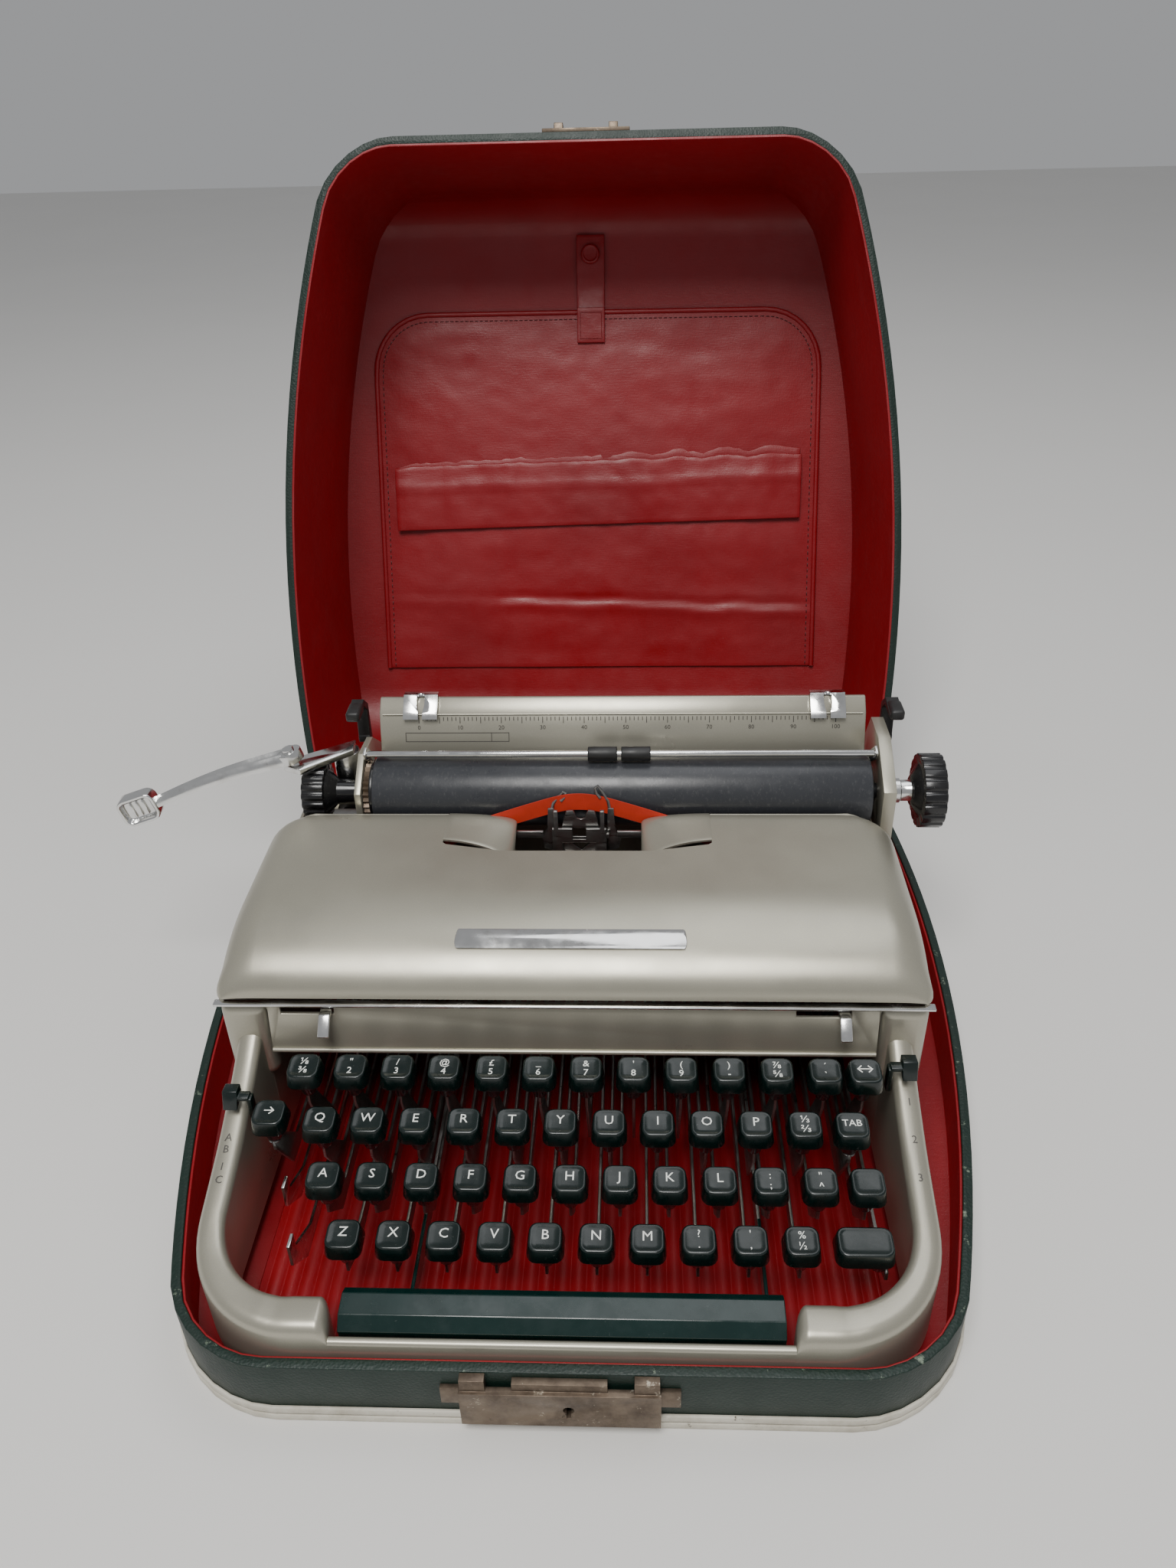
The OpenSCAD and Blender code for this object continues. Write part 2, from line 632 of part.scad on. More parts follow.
// ---- Keys ----
// A lever of thin plate from the fulcrum rod to the key's stem, with a hole for the rod
module key_lever(x, y, top) {
    difference() {
        union() {
            rod_x(x - lever_t/2, x + lever_t/2, fulcrum[0], fulcrum[1], 5.5);
            along_x(x - lever_t/2, x + lever_t/2) polygon([fulcrum + [0, -3], fulcrum + [0, 4.5],
                [30, lever_z + lever_h], [y + 22, lever_z + lever_h], [y + 4, top - 16], [y + 4, top - 9],
                [y - 2, top - 9], [y - 2, top - 20], [y + 12, lever_z - 1], [40, lever_z - 4]]);
        }
        rod_x(x - 2, x + 2, fulcrum[0], fulcrum[1], fulcrum_r);
    }
}
// A cap with round corners on a stem that tapers downwards
module key_cap(x, y, top, w = cap_w) {
    translate([x, y, top - 7]) linear_extrude(7) rounded(w, cap_w, 4);
    translate([x, y, top - 16]) difference() {
        cylinder(h = 9.1, r1 = 2.4, r2 = 5.4);
        translate([-lever_t/2 - 0.02, -3.02, -1]) cube([lever_t + 0.04, 7.04, 8.02]);
    }
}
// The last key of each row stands a little closer to its neighbour
last_closer = [3.4, 1, 1.4, 0];
function key_x(row, i) = rows[row][2] + i*pitch - (i == rows[row][3] - 1 ? last_closer[row] : 0);
// How many of a row's keys print a character
plain = [13, 11, 12, 10];
module caps(row) {
    color("#12302b") for (i = [0:plain[row] - 1]) key_cap(key_x(row, i), rows[row][0], rows[row][1]);
}
module levers(row) {
    color("#8f9193") for (i = [0:plain[row] - 1]) key_lever(key_x(row, i), rows[row][0], rows[row][1]);
}
module key_caps_row1() { caps(0); }
module key_caps_row2() { caps(1); }
module key_caps_row3() { caps(2); }
module key_caps_row4() { caps(3); }
module key_levers_row1() { levers(0); }
module key_levers_row2() { levers(1); }
module key_levers_row3() { levers(2); }
module key_levers_row4() { levers(3); }
module tabulator_key() {
    color("#12302b") {
        key_cap(key_x(1, 11), rows[1][0], rows[1][1]);
        key_lever(key_x(1, 11), rows[1][0], rows[1][1]);
    }
}
module backspace_key() {
    color("#12302b") {
        key_cap(-119.6, -104, 70);
        key_lever(-119.6, -104, 70);
    }
}
module shift_key() {
    color("#12302b") {
        translate([111.5, rows[3][0], rows[3][1] - 7]) linear_extrude(7) rounded(22, cap_w, 4);
        block([117, rows[3][0] - 4, rows[3][1] - 12], [122.5, rows[3][0] + 4, rows[3][1] - 6.9]);
        key_lever(120.6, rows[3][0], rows[3][1]);
    }
}
// The left shift key's bare lever end, and the shift lock beside it
module shift_lock_lever() {
    color("#b9babb") {
        key_lever(-112.2, -122, 58);
        key_lever(-102.6, -150, 60);
    }
}
module space_bar() {
    color("#0f332c")
        along_x(-80.5, 80.5)
            polygon([[-176, 30], [-163, 30], [-161.5, 41.5], [-165, 43.5], [-173, 42.5], [-177, 38]]);
    color("#8f9193") for (x = space_arm_x) difference() {
        union() {
            rod_x(x - 0.7, x + 0.7, fulcrum[0], fulcrum[1], 5.5);
            along_x(x - 0.7, x + 0.7) polygon([fulcrum + [0, 4.5], fulcrum + [0, -3], [40, 18],
                [-160, 22], [-170, 25], [-170, 31], [-160, 31], [30, 27]]);
        }
        rod_x(x - 3, x + 3, fulcrum[0], fulcrum[1], fulcrum_r);
    }
}

case_tray();
case_tray_lining();
case_tray_piping();
case_lid();
case_lid_lining();
lid_pocket();
pocket_strap();
tray_hinge_leaf();
lid_hinge_leaf();
lock_plate();
lid_catch();
handle_brackets();
carry_handle();
base_frame();
body_shell();
front_panel();
trim_strip();
rubber_feet();
frame_screws();
carriage_rails();
mainspring_drum();
fulcrum_rod();
cover_latch_left();
cover_latch_right();
ribbon_selector();
touch_selector();
top_cover();
badge();
ribbon_spool_left();
ribbon_spool_right();
ribbon();
segment();
typebars();
type_guide();
roller_truck();
carriage_frame();
paper_table();
platen();
platen_knobs();
paper_bail();
bail_rollers();
return_lever_bracket();
return_lever_arm();
release_lever_left();
release_lever_right();
margin_stop_left();
margin_stop_right();
key_caps_row1();
key_caps_row2();
key_caps_row3();
key_caps_row4();
key_levers_row1();
key_levers_row2();
key_levers_row3();
key_levers_row4();
space_bar();
shift_key();
shift_lock_lever();
backspace_key();
tabulator_key();
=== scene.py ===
# %% [markdown]
# A portable typewriter in its open carrying case. The measured frame is loaded first. It fixes
# every size and every joint. Each cell after that makes one piece, or one finish, around it.

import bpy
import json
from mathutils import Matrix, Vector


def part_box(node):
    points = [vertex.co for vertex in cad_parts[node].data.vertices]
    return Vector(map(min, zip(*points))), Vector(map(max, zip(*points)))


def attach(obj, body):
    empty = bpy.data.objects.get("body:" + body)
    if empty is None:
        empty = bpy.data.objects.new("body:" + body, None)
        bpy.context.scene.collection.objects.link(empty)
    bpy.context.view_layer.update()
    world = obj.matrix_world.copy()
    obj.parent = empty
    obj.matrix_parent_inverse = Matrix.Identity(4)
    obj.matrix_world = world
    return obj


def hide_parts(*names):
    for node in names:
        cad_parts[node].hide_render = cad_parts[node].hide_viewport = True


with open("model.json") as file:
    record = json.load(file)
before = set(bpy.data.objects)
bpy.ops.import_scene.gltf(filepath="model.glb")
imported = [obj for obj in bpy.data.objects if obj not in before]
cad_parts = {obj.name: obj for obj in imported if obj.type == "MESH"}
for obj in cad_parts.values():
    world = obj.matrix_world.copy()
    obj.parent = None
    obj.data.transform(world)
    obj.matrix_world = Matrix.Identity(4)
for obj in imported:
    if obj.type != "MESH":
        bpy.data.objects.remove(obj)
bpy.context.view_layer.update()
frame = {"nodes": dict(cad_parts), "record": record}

import json
import math

import bmesh
import bpy
from mathutils import Matrix, Vector, noise

MM = 0.001
BODY_OF = {node: body for body, nodes in frame["record"]["behaviour"]["bodies"].items() for node in nodes}
SLOT_OF = {part["node"]: part["material_slot"] for part in frame["record"]["subparts"]}

# %% [markdown]
# The camera stands in front of the keyboard, a little above the machine, and looks down at it.
# Yaw turns it, pitch tips it down and roll leans it a little.

# %% Camera
def aim(yaw, pitch, roll):
    forward = Vector((math.sin(yaw) * math.cos(pitch), math.cos(yaw) * math.cos(pitch), -math.sin(pitch)))
    right = Vector((math.cos(yaw), -math.sin(yaw), 0))
    up = right.cross(forward)
    x_axis = right * math.cos(roll) + up * math.sin(roll)
    y_axis = up * math.cos(roll) - right * math.sin(roll)
    return Matrix((x_axis, y_axis, -forward)).transposed()


bpy.ops.object.select_all(action="DESELECT")
bpy.ops.object.camera_add()
camera = bpy.context.object
camera.name = "camera"
camera.data.sensor_fit = "VERTICAL"
camera.data.sensor_height = 36
camera.data.lens = 26.67
camera.matrix_world = Matrix.Translation((0.028, -0.4202, 0.4259)) @ aim(
    math.radians(-2.92), math.radians(32.42), math.radians(-1.64)).to_4x4()
camera.data.clip_start = 0.02
bpy.context.scene.camera = camera
print("camera at", tuple(round(v, 3) for v in camera.location))

# %% [markdown]
# Soft studio light. A large lamp, high up on the typist's side, gives the broad highlight on the
# hood, and a weaker one behind picks out the edges of the lid. The pale floor comes last.

# %% Lights
def lamp(name, place, target, width, watts, tint):
    bpy.ops.object.light_add(type="AREA", location=place)
    light = bpy.context.object
    light.name = name
    light.rotation_euler = (Vector(target) - Vector(place)).to_track_quat("-Z", "Y").to_euler()
    light.data.shape = "SQUARE"
    light.data.size = width
    light.data.energy = watts
    light.data.color = tint


lamp("ceiling_light", (-0.15, -0.85, 1.75), (0, 0, 0.08), 0.8, 31, (1, 0.985, 0.96))
lamp("rear_light", (0.3, 0.5, 1.9), (0, 0.1, 0.1), 1.2, 9, (0.97, 0.98, 1))
world = bpy.data.worlds.new("studio")
world.use_nodes = True
world.node_tree.nodes["Background"].inputs["Color"].default_value = (0.86, 0.87, 0.89, 1)
world.node_tree.nodes["Background"].inputs["Strength"].default_value = 0.4
bpy.context.scene.world = world

# %% [markdown]
# Finishes are built from a few shader blocks: noise for colour and wear, a ramp that picks out
# part of it, and a bump for grain. All of them read Object coordinates in metres, so the grain
# keeps its real size on every piece.

# %% Shader blocks
class Finish:
    """One procedural material, built up block by block."""

    def __init__(self, name, colour, roughness, metallic=0.0):
        self.material = bpy.data.materials.new(name)
        self.material.use_nodes = True
        self.tree = self.material.node_tree
        self.shader = self.tree.nodes["Principled BSDF"]
        self.colour = self.block("ShaderNodeRGB").outputs[0]
        self.colour.default_value = (*colour, 1)
        self.shader.inputs["Metallic"].default_value = metallic
        self.shader.inputs["Roughness"].default_value = roughness
        self.place = self.block("ShaderNodeTexCoord").outputs["Object"]
        self.normal = None

    def block(self, kind, **settings):
        node = self.tree.nodes.new(kind)
        for key, value in settings.items():
            setattr(node, key, value)
        return node

    def join(self, value, socket):
        if hasattr(value, "is_linked"):
            self.tree.links.new(value, socket)
        else:
            socket.default_value = value

    def stretched(self, scale):
        node = self.block("ShaderNodeMapping")
        self.join(self.place, node.inputs["Vector"])
        node.inputs["Scale"].default_value = scale
        return node.outputs["Vector"]

    def noise(self, scale, detail=4, roughness=0.6, stretch=None):
        node = self.block("ShaderNodeTexNoise")
        self.join(self.stretched(stretch) if stretch else self.place, node.inputs["Vector"])
        node.inputs["Scale"].default_value = scale
        node.inputs["Detail"].default_value = detail
        node.inputs["Roughness"].default_value = roughness
        return node.outputs["Fac"]

    def cells(self, scale, feature="F1", stretch=None):
        node = self.block("ShaderNodeTexVoronoi", feature=feature)
        self.join(self.stretched(stretch) if stretch else self.place, node.inputs["Vector"])
        node.inputs["Scale"].default_value = scale
        return node.outputs["Distance"]

    def axis(self, name):
        node = self.block("ShaderNodeSeparateXYZ")
        self.join(self.place, node.inputs[0])
        return node.outputs[name]

    def spread(self, value, low, high, to_low=0.0, to_high=1.0):
        node = self.block("ShaderNodeMapRange", clamp=True)
        self.join(value, node.inputs["Value"])
        for key, number in zip(("From Min", "From Max", "To Min", "To Max"), (low, high, to_low, to_high)):
            node.inputs[key].default_value = number
        return node.outputs["Result"]

    def sums(self, operation, a, b):
        node = self.block("ShaderNodeMath", operation=operation)
        self.join(a, node.inputs[0])
        self.join(b, node.inputs[1])
        return node.outputs[0]

    def tint(self, mask, colour):
        node = self.block("ShaderNodeMix", data_type="RGBA")
        self.join(mask, node.inputs["Factor"])
        self.join(self.colour, node.inputs["A"])
        node.inputs["B"].default_value = (*colour, 1)
        self.colour = node.outputs["Result"]

    def roughness(self, value):
        self.join(value, self.shader.inputs["Roughness"])

    def bump(self, height, distance_mm, strength=1.0):
        node = self.block("ShaderNodeBump")
        self.join(height, node.inputs["Height"])
        node.inputs["Distance"].default_value = distance_mm * MM
        node.inputs["Strength"].default_value = strength
        if self.normal:
            self.join(self.normal, node.inputs["Normal"])
        self.normal = node.outputs["Normal"]

    def done(self):
        self.join(self.colour, self.shader.inputs["Base Color"])
        if self.normal:
            self.join(self.normal, self.shader.inputs["Normal"])
        return self.material


# %% [markdown]
# The enamel is a warm silver-grey with fine metal flake. It is dusty in patches, and it has
# small dark chips and fine scratches.

# %% Silver enamel
def silver_enamel():
    f = Finish("silver_enamel", (0.42, 0.40, 0.325), 0.34, 0.65)
    f.tint(f.spread(f.noise(14, 3), 0.35, 0.7, 0, 0.3), (0.36, 0.345, 0.285))
    f.tint(f.spread(f.noise(2600, 2), 0.45, 0.75, 0, 0.25), (0.56, 0.54, 0.48))
    chips = f.spread(f.noise(95, 5, 0.7), 0.735, 0.755)
    f.tint(chips, (0.05, 0.045, 0.04))
    scratches = f.spread(f.noise(60, 6, 0.75, (1, 9, 9)), 0.735, 0.75, 0, 0.6)
    f.tint(scratches, (0.25, 0.23, 0.19))
    f.roughness(f.spread(f.noise(22, 4), 0.3, 0.75, 0.27, 0.42))
    f.bump(f.noise(900, 2), 0.02, 0.5)
    f.bump(f.spread(chips, 0, 1, 1, 0), 0.08)
    return f.done()


# %% [markdown]
# Chrome, plated steel and blackened steel are the same metal with less and less polish. Finger
# marks and fine brushing show in the roughness. The lock's brass plating has gone brown.

# %% Metals
def polished_chrome():
    f = Finish("polished_chrome", (0.78, 0.78, 0.77), 0.14, 1.0)
    f.tint(f.spread(f.noise(70, 5), 0.55, 0.75, 0, 0.5), (0.42, 0.39, 0.35))
    f.tint(f.spread(f.noise(420, 4, 0.7), 0.7, 0.76, 0, 0.8), (0.12, 0.08, 0.05))
    f.roughness(f.spread(f.noise(90, 5), 0.35, 0.75, 0.08, 0.34))
    f.bump(f.noise(260, 3), 0.02, 0.4)
    return f.done()


def plated_steel():
    f = Finish("plated_steel", (0.34, 0.335, 0.325), 0.38, 1.0)
    f.tint(f.spread(f.noise(50, 5), 0.45, 0.75, 0, 0.7), (0.16, 0.14, 0.12))
    f.tint(f.spread(f.noise(300, 4, 0.7), 0.66, 0.74, 0, 0.8), (0.14, 0.07, 0.035))
    f.roughness(f.spread(f.noise(120, 4, 0.6, (1, 1, 8)), 0.3, 0.75, 0.25, 0.55))
    f.bump(f.noise(500, 3, 0.6, (1, 1, 6)), 0.02, 0.5)
    return f.done()


def blackened_steel():
    f = Finish("blackened_steel", (0.045, 0.045, 0.045), 0.42, 0.7)
    f.tint(f.spread(f.noise(140, 5), 0.6, 0.75, 0, 0.6), (0.2, 0.19, 0.17))
    f.roughness(f.spread(f.noise(80, 4), 0.3, 0.7, 0.3, 0.6))
    f.bump(f.noise(700, 3), 0.02, 0.5)
    return f.done()


def aged_brass():
    f = Finish("aged_brass", (0.20, 0.155, 0.115), 0.42, 0.85)
    f.tint(f.spread(f.noise(60, 6, 0.7), 0.40, 0.64, 0, 0.85), (0.075, 0.055, 0.042))
    f.tint(f.spread(f.noise(150, 5, 0.7), 0.62, 0.68, 0, 0.75), (0.52, 0.47, 0.38))
    f.tint(f.spread(f.noise(210, 5, 0.7), 0.68, 0.72), (0.03, 0.024, 0.018))
    f.roughness(f.spread(f.noise(90, 5), 0.3, 0.7, 0.28, 0.7))
    f.bump(f.noise(340, 5, 0.7), 0.08, 0.6)
    return f.done()


# %% [markdown]
# The keys are dark green moulded plastic with a gloss that years of fingers have dulled in
# places, and dust lies on it in patches. The knobs are the same plastic in black.

# %% Plastics and rubbers
def moulded(name, colour, dusty):
    f = Finish(name, colour, 0.2)
    f.shader.inputs["Coat Weight"].default_value = 0.15
    f.shader.inputs["Coat Roughness"].default_value = 0.12
    f.tint(f.spread(f.noise(45, 4), 0.4, 0.8, 0, 0.6), tuple(c * 1.4 + 0.001 for c in colour))
    f.tint(f.spread(f.noise(520, 4, 0.75), 0.66, 0.74, 0, dusty), (0.25, 0.26, 0.24))
    f.roughness(f.spread(f.noise(110, 5), 0.3, 0.75, 0.13, 0.42))
    f.bump(f.noise(330, 3), 0.03, 0.35)
    return f.done()


def rubber(name, colour, shine):
    f = Finish(name, colour, 0.55)
    f.tint(f.spread(f.noise(60, 5), 0.4, 0.75, 0, 0.7), tuple(c * 2.2 for c in colour))
    f.tint(f.spread(f.noise(380, 5, 0.75), 0.68, 0.75, 0, 0.5), (0.2, 0.2, 0.19))
    f.roughness(f.spread(f.noise(130, 5), 0.3, 0.75, shine, shine + 0.25))
    f.bump(f.noise(650, 4), 0.04, 0.6)
    return f.done()


def platen_rubber():
    f = Finish("platen_rubber", (0.03, 0.032, 0.037), 0.36)
    f.tint(f.spread(f.noise(24, 3, 0.5, (1, 1, 1)), 0.4, 0.75, 0, 0.3), (0.05, 0.053, 0.06))
    struck = f.spread(f.noise(900, 3, 0.7, (1, 0.5, 0.5)), 0.55, 0.72, 0, 0.4)
    f.tint(struck, (0.1, 0.1, 0.1))
    f.roughness(f.spread(f.noise(160, 4), 0.3, 0.7, 0.26, 0.38))
    f.bump(f.noise(1100, 3, 0.6), 0.05, 0.5)
    return f.done()


# %% [markdown]
# The case is covered in dark green leathercloth with a pebbled grain. The tray's rim is rubbed
# down to the pale backing, so that wear is tied to the height. The vinyl has a fine weave.

# %% Leathercloth and vinyl
def leathercloth(name, colour, wear_centre, wear_width):
    f = Finish(name, colour, 0.5)
    f.tint(f.spread(f.noise(18, 4), 0.35, 0.7, 0, 0.6), tuple(c * 0.6 for c in colour))
    grain = f.cells(900)
    f.tint(f.spread(grain, 0.35, 0.8, 0, 0.3), tuple(c * 1.6 for c in colour))
    edge = f.sums("ABSOLUTE", f.sums("SUBTRACT", f.axis("Z"), wear_centre * MM), 0)
    near = f.spread(edge, wear_width * MM, 0, 0, 0.17)
    scuff = f.sums("ADD", f.noise(130, 6, 0.75), near)
    f.tint(f.spread(scuff, 0.77, 0.83, 0, 0.75), (0.22, 0.27, 0.2))
    f.tint(f.spread(scuff, 0.87, 0.9, 0, 0.9), (0.62, 0.6, 0.52))
    f.roughness(f.spread(f.noise(70, 4), 0.3, 0.7, 0.46, 0.56))
    f.bump(grain, 0.25, 0.55)
    f.bump(f.noise(240, 4), 0.08, 0.3)
    return f.done()


def red_vinyl(name, colour, sheen):
    f = Finish(name, colour, sheen)
    f.tint(f.spread(f.noise(9, 4), 0.35, 0.72, 0, 0.45), tuple(c * 0.6 for c in colour))
    f.tint(f.spread(f.noise(55, 5, 0.7), 0.58, 0.8, 0, 0.25), (0.36, 0.03, 0.035))
    weave_x = f.noise(1500, 2, 0.5, (1, 1, 0.12))
    weave_z = f.noise(1500, 2, 0.5, (0.12, 0.5, 1))
    f.roughness(f.spread(f.noise(40, 4), 0.3, 0.75, sheen - 0.08, sheen + 0.14))
    f.bump(f.sums("ADD", weave_x, weave_z), 0.10, 0.6)
    f.bump(f.noise(55, 4, 0.6), 0.6, 0.35)
    return f.done()


def white_piping():
    f = Finish("white_piping", (0.66, 0.63, 0.54), 0.55)
    f.tint(f.spread(f.noise(45, 6, 0.7), 0.45, 0.72, 0, 0.75), (0.36, 0.32, 0.24))
    f.tint(f.spread(f.noise(190, 5, 0.75), 0.64, 0.7), (0.12, 0.10, 0.07))
    f.bump(f.noise(420, 5, 0.7), 0.2, 0.8)
    return f.done()


def inked_ribbon():
    f = Finish("inked_ribbon", (0.62, 0.035, 0.012), 0.7)
    f.tint(f.spread(f.axis("Z"), 0.1042, 0.1034), (0.012, 0.01, 0.012))
    f.tint(f.spread(f.noise(70, 4), 0.4, 0.75, 0, 0.4), (0.3, 0.015, 0.008))
    f.bump(f.noise(2200, 2, 0.5, (1, 1, 0.2)), 0.05, 0.7)
    return f.done()


def ink(name, colour):
    f = Finish(name, colour, 0.5)
    f.tint(f.spread(f.noise(300, 4, 0.7), 0.55, 0.72, 0, 0.35), tuple(c * 0.5 + 0.02 for c in colour))
    return f.done()


RIM_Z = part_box("case_tray")[1][2] / MM
FINISHES = {
    "silver_paint": silver_enamel(), "chrome": polished_chrome(), "plated_steel": plated_steel(),
    "dark_steel": blackened_steel(), "aged_brass": aged_brass(),
    "green_plastic": moulded("green_plastic", (0.001, 0.0065, 0.0056), 0.2),
    "black_plastic": moulded("black_plastic", (0.008, 0.008, 0.009), 0.3),
    "rubber": rubber("black_rubber", (0.012, 0.012, 0.012), 0.35), "platen_rubber": platen_rubber(),
    "leatherette": leathercloth("green_leathercloth", (0.003, 0.016, 0.0105), RIM_Z, 5),
    "handle_leather": leathercloth("grip_leather", (0.012, 0.03, 0.024), 1000, 5),
    "red_vinyl": red_vinyl("red_vinyl", (0.27, 0.005, 0.010), 0.4), "white_piping": white_piping(),
    "ribbon_cloth": inked_ribbon(), "legend_ink": ink("legend_ink", (0.85, 0.87, 0.82)),
    "dark_thread": ink("dark_thread", (0.07, 0.004, 0.006)),
    "scale_ink": ink("scale_ink", (0.06, 0.055, 0.05)),
    "bar_plastic": moulded("bar_plastic", (0.001, 0.015, 0.013), 0.2),
}
print("finishes:", ", ".join(FINISHES))

# %% [markdown]
# Small helpers stand for what a modeller does by hand over and over: pick one object, apply a
# modifier, round the edges, and hand the finished piece to the body that it moves with.

# %% Modelling helpers
def pick(obj):
    if bpy.context.object and bpy.context.object.mode != "OBJECT":
        bpy.ops.object.mode_set(mode="OBJECT")
    bpy.ops.object.select_all(action="DESELECT")
    obj.select_set(True)
    bpy.context.view_layer.objects.active = obj


def apply_modifier(obj, kind, **settings):
    pick(obj)
    modifier = obj.modifiers.new(kind, kind)
    for key, value in settings.items():
        setattr(modifier, key, value)
    bpy.ops.object.modifier_apply(modifier=modifier.name)


def edit(obj, mode="FACE"):
    pick(obj)
    bpy.ops.object.mode_set(mode="EDIT")
    bpy.ops.mesh.select_mode(type=mode)
    bpy.ops.mesh.select_all(action="SELECT")


def leave_edit():
    bpy.ops.object.mode_set(mode="OBJECT")


def outward(obj):
    edit(obj)
    bpy.ops.mesh.remove_doubles(threshold=0.00001)
    bpy.ops.mesh.normals_make_consistent(inside=False)
    leave_edit()


def smooth(obj, angle=35):
    pick(obj)
    bpy.ops.object.shade_smooth_by_angle(angle=math.radians(angle))


def round_edges(obj, radius_mm, segments=2, angle=32):
    apply_modifier(obj, "BEVEL", width=radius_mm * MM, segments=segments, limit_method="ANGLE",
                   angle_limit=math.radians(angle), use_clamp_overlap=True)


def settle(obj):
    pick(obj)
    bpy.ops.object.transform_apply(location=True, rotation=True, scale=True)


def cube(name, place, size):
    """A plain block centred on place, both in mm."""
    pick(camera)
    bpy.ops.mesh.primitive_cube_add(size=1, location=Vector(place) * MM)
    obj = bpy.context.object
    obj.name = name
    obj.scale = Vector(size) * MM
    settle(obj)
    return obj


def drum(name, radius, low, high, y=0, sides=40):
    """An upright cylinder from low to high, in mm."""
    pick(camera)
    bpy.ops.mesh.primitive_cylinder_add(vertices=sides, radius=radius * MM, depth=(high - low) * MM,
                                        location=(0, y * MM, (low + high) / 2 * MM))
    obj = bpy.context.object
    obj.name = name
    settle(obj)
    return obj


def cut_off(obj, place, direction, keep_above=False):
    """Cuts a mesh at a plane and closes the cut."""
    edit(obj)
    bpy.ops.mesh.bisect(plane_co=Vector(place) * MM, plane_no=direction, use_fill=True,
                        clear_inner=keep_above, clear_outer=not keep_above)
    leave_edit()


def hand_over(obj, body, finish, nodes=()):
    obj.data.materials.clear()
    obj.data.materials.append(FINISHES[finish])
    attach(obj, body)
    if nodes:
        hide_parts(*nodes)
    return obj


def from_points(name, points, faces):
    mesh = bpy.data.meshes.new(name)
    mesh.from_pydata([Vector(p) * MM for p in points], [], faces)
    obj = bpy.data.objects.new(name, mesh)
    bpy.context.collection.objects.link(obj)
    return obj


def lofted(name, rings, closed_rings=False, caps=False):
    """A skin over rings of points that all have the same number of points."""
    size = len(rings[0])
    points = [p for ring in rings for p in ring]
    across = range(size if closed_rings else size - 1)
    faces = [(i * size + j, i * size + (j + 1) % size, (i + 1) * size + (j + 1) % size, (i + 1) * size + j)
             for i in range(len(rings) - 1) for j in across]
    if caps:
        faces += [tuple(range(size - 1, -1, -1)), tuple(range((len(rings) - 1) * size, len(rings) * size))]
    return from_points(name, points, faces)


def joined(name, objects):
    pick(objects[0])
    for obj in objects[1:]:
        obj.select_set(True)
    if len(objects) > 1:
        bpy.ops.object.join()
    objects[0].name = name
    return objects[0]


def wire(name, points, radius_mm, sides=3, cyclic=False):
    """A round wire through the points, as a mesh."""
    curve = bpy.data.curves.new(name, "CURVE")
    curve.dimensions = "3D"
    curve.bevel_depth = radius_mm * MM
    curve.bevel_resolution = sides
    curve.use_fill_caps = True
    spline = curve.splines.new("POLY")
    spline.points.add(len(points) - 1)
    spline.use_cyclic_u = cyclic
    for target, point in zip(spline.points, points):
        target.co = (*(Vector(point) * MM), 1)
    obj = bpy.data.objects.new(name, curve)
    bpy.context.collection.objects.link(obj)
    pick(obj)
    bpy.ops.object.convert(target="MESH")
    return bpy.context.object


def lettering(text, height_mm, place, tilt, thickness_mm=0.06, turn=0.0):
    """One word as a thin raised mesh, centred on place (mm) and tilted back by tilt degrees."""
    pick(camera)
    bpy.ops.object.text_add()
    obj = bpy.context.object
    obj.data.body = text
    obj.data.size = height_mm * MM
    obj.data.align_x = "CENTER"
    obj.data.align_y = "CENTER"
    obj.data.extrude = thickness_mm * MM
    obj.data.resolution_u = 2
    bpy.ops.object.convert(target="MESH")
    obj = bpy.context.object
    obj.matrix_world = (Matrix.Translation(Vector(place) * MM) @ Matrix.Rotation(math.radians(tilt), 4, "X")
                        @ Matrix.Rotation(math.radians(turn), 4, "Z"))
    settle(obj)
    return obj


# %% [markdown]
# Most of the machine is pressed plate, turned rod and castings whose shape the frame already
# has. A copy of each is welded, cleaned of stray edges and given rounded edges, because a real
# edge always catches the light. Thin plate gets a tiny radius, and a radius of 0 leaves a piece as
# it is: the hinge leaves' many small faces do not survive the cleaning.

# %% Refine the metalwork
def refined(node, radius_mm, segments=2, angle=32, name=None, clean=True):
    source = frame["nodes"][node]
    obj = bpy.data.objects.new(name or node + "_piece", source.data.copy())
    bpy.context.collection.objects.link(obj)
    edit(obj)
    bpy.ops.mesh.remove_doubles(threshold=0.00001)
    if clean:
        bpy.ops.mesh.dissolve_limited(angle_limit=math.radians(0.6))
    leave_edit()
    if radius_mm:
        round_edges(obj, radius_mm, segments, angle)
    smooth(obj, 38)
    return obj


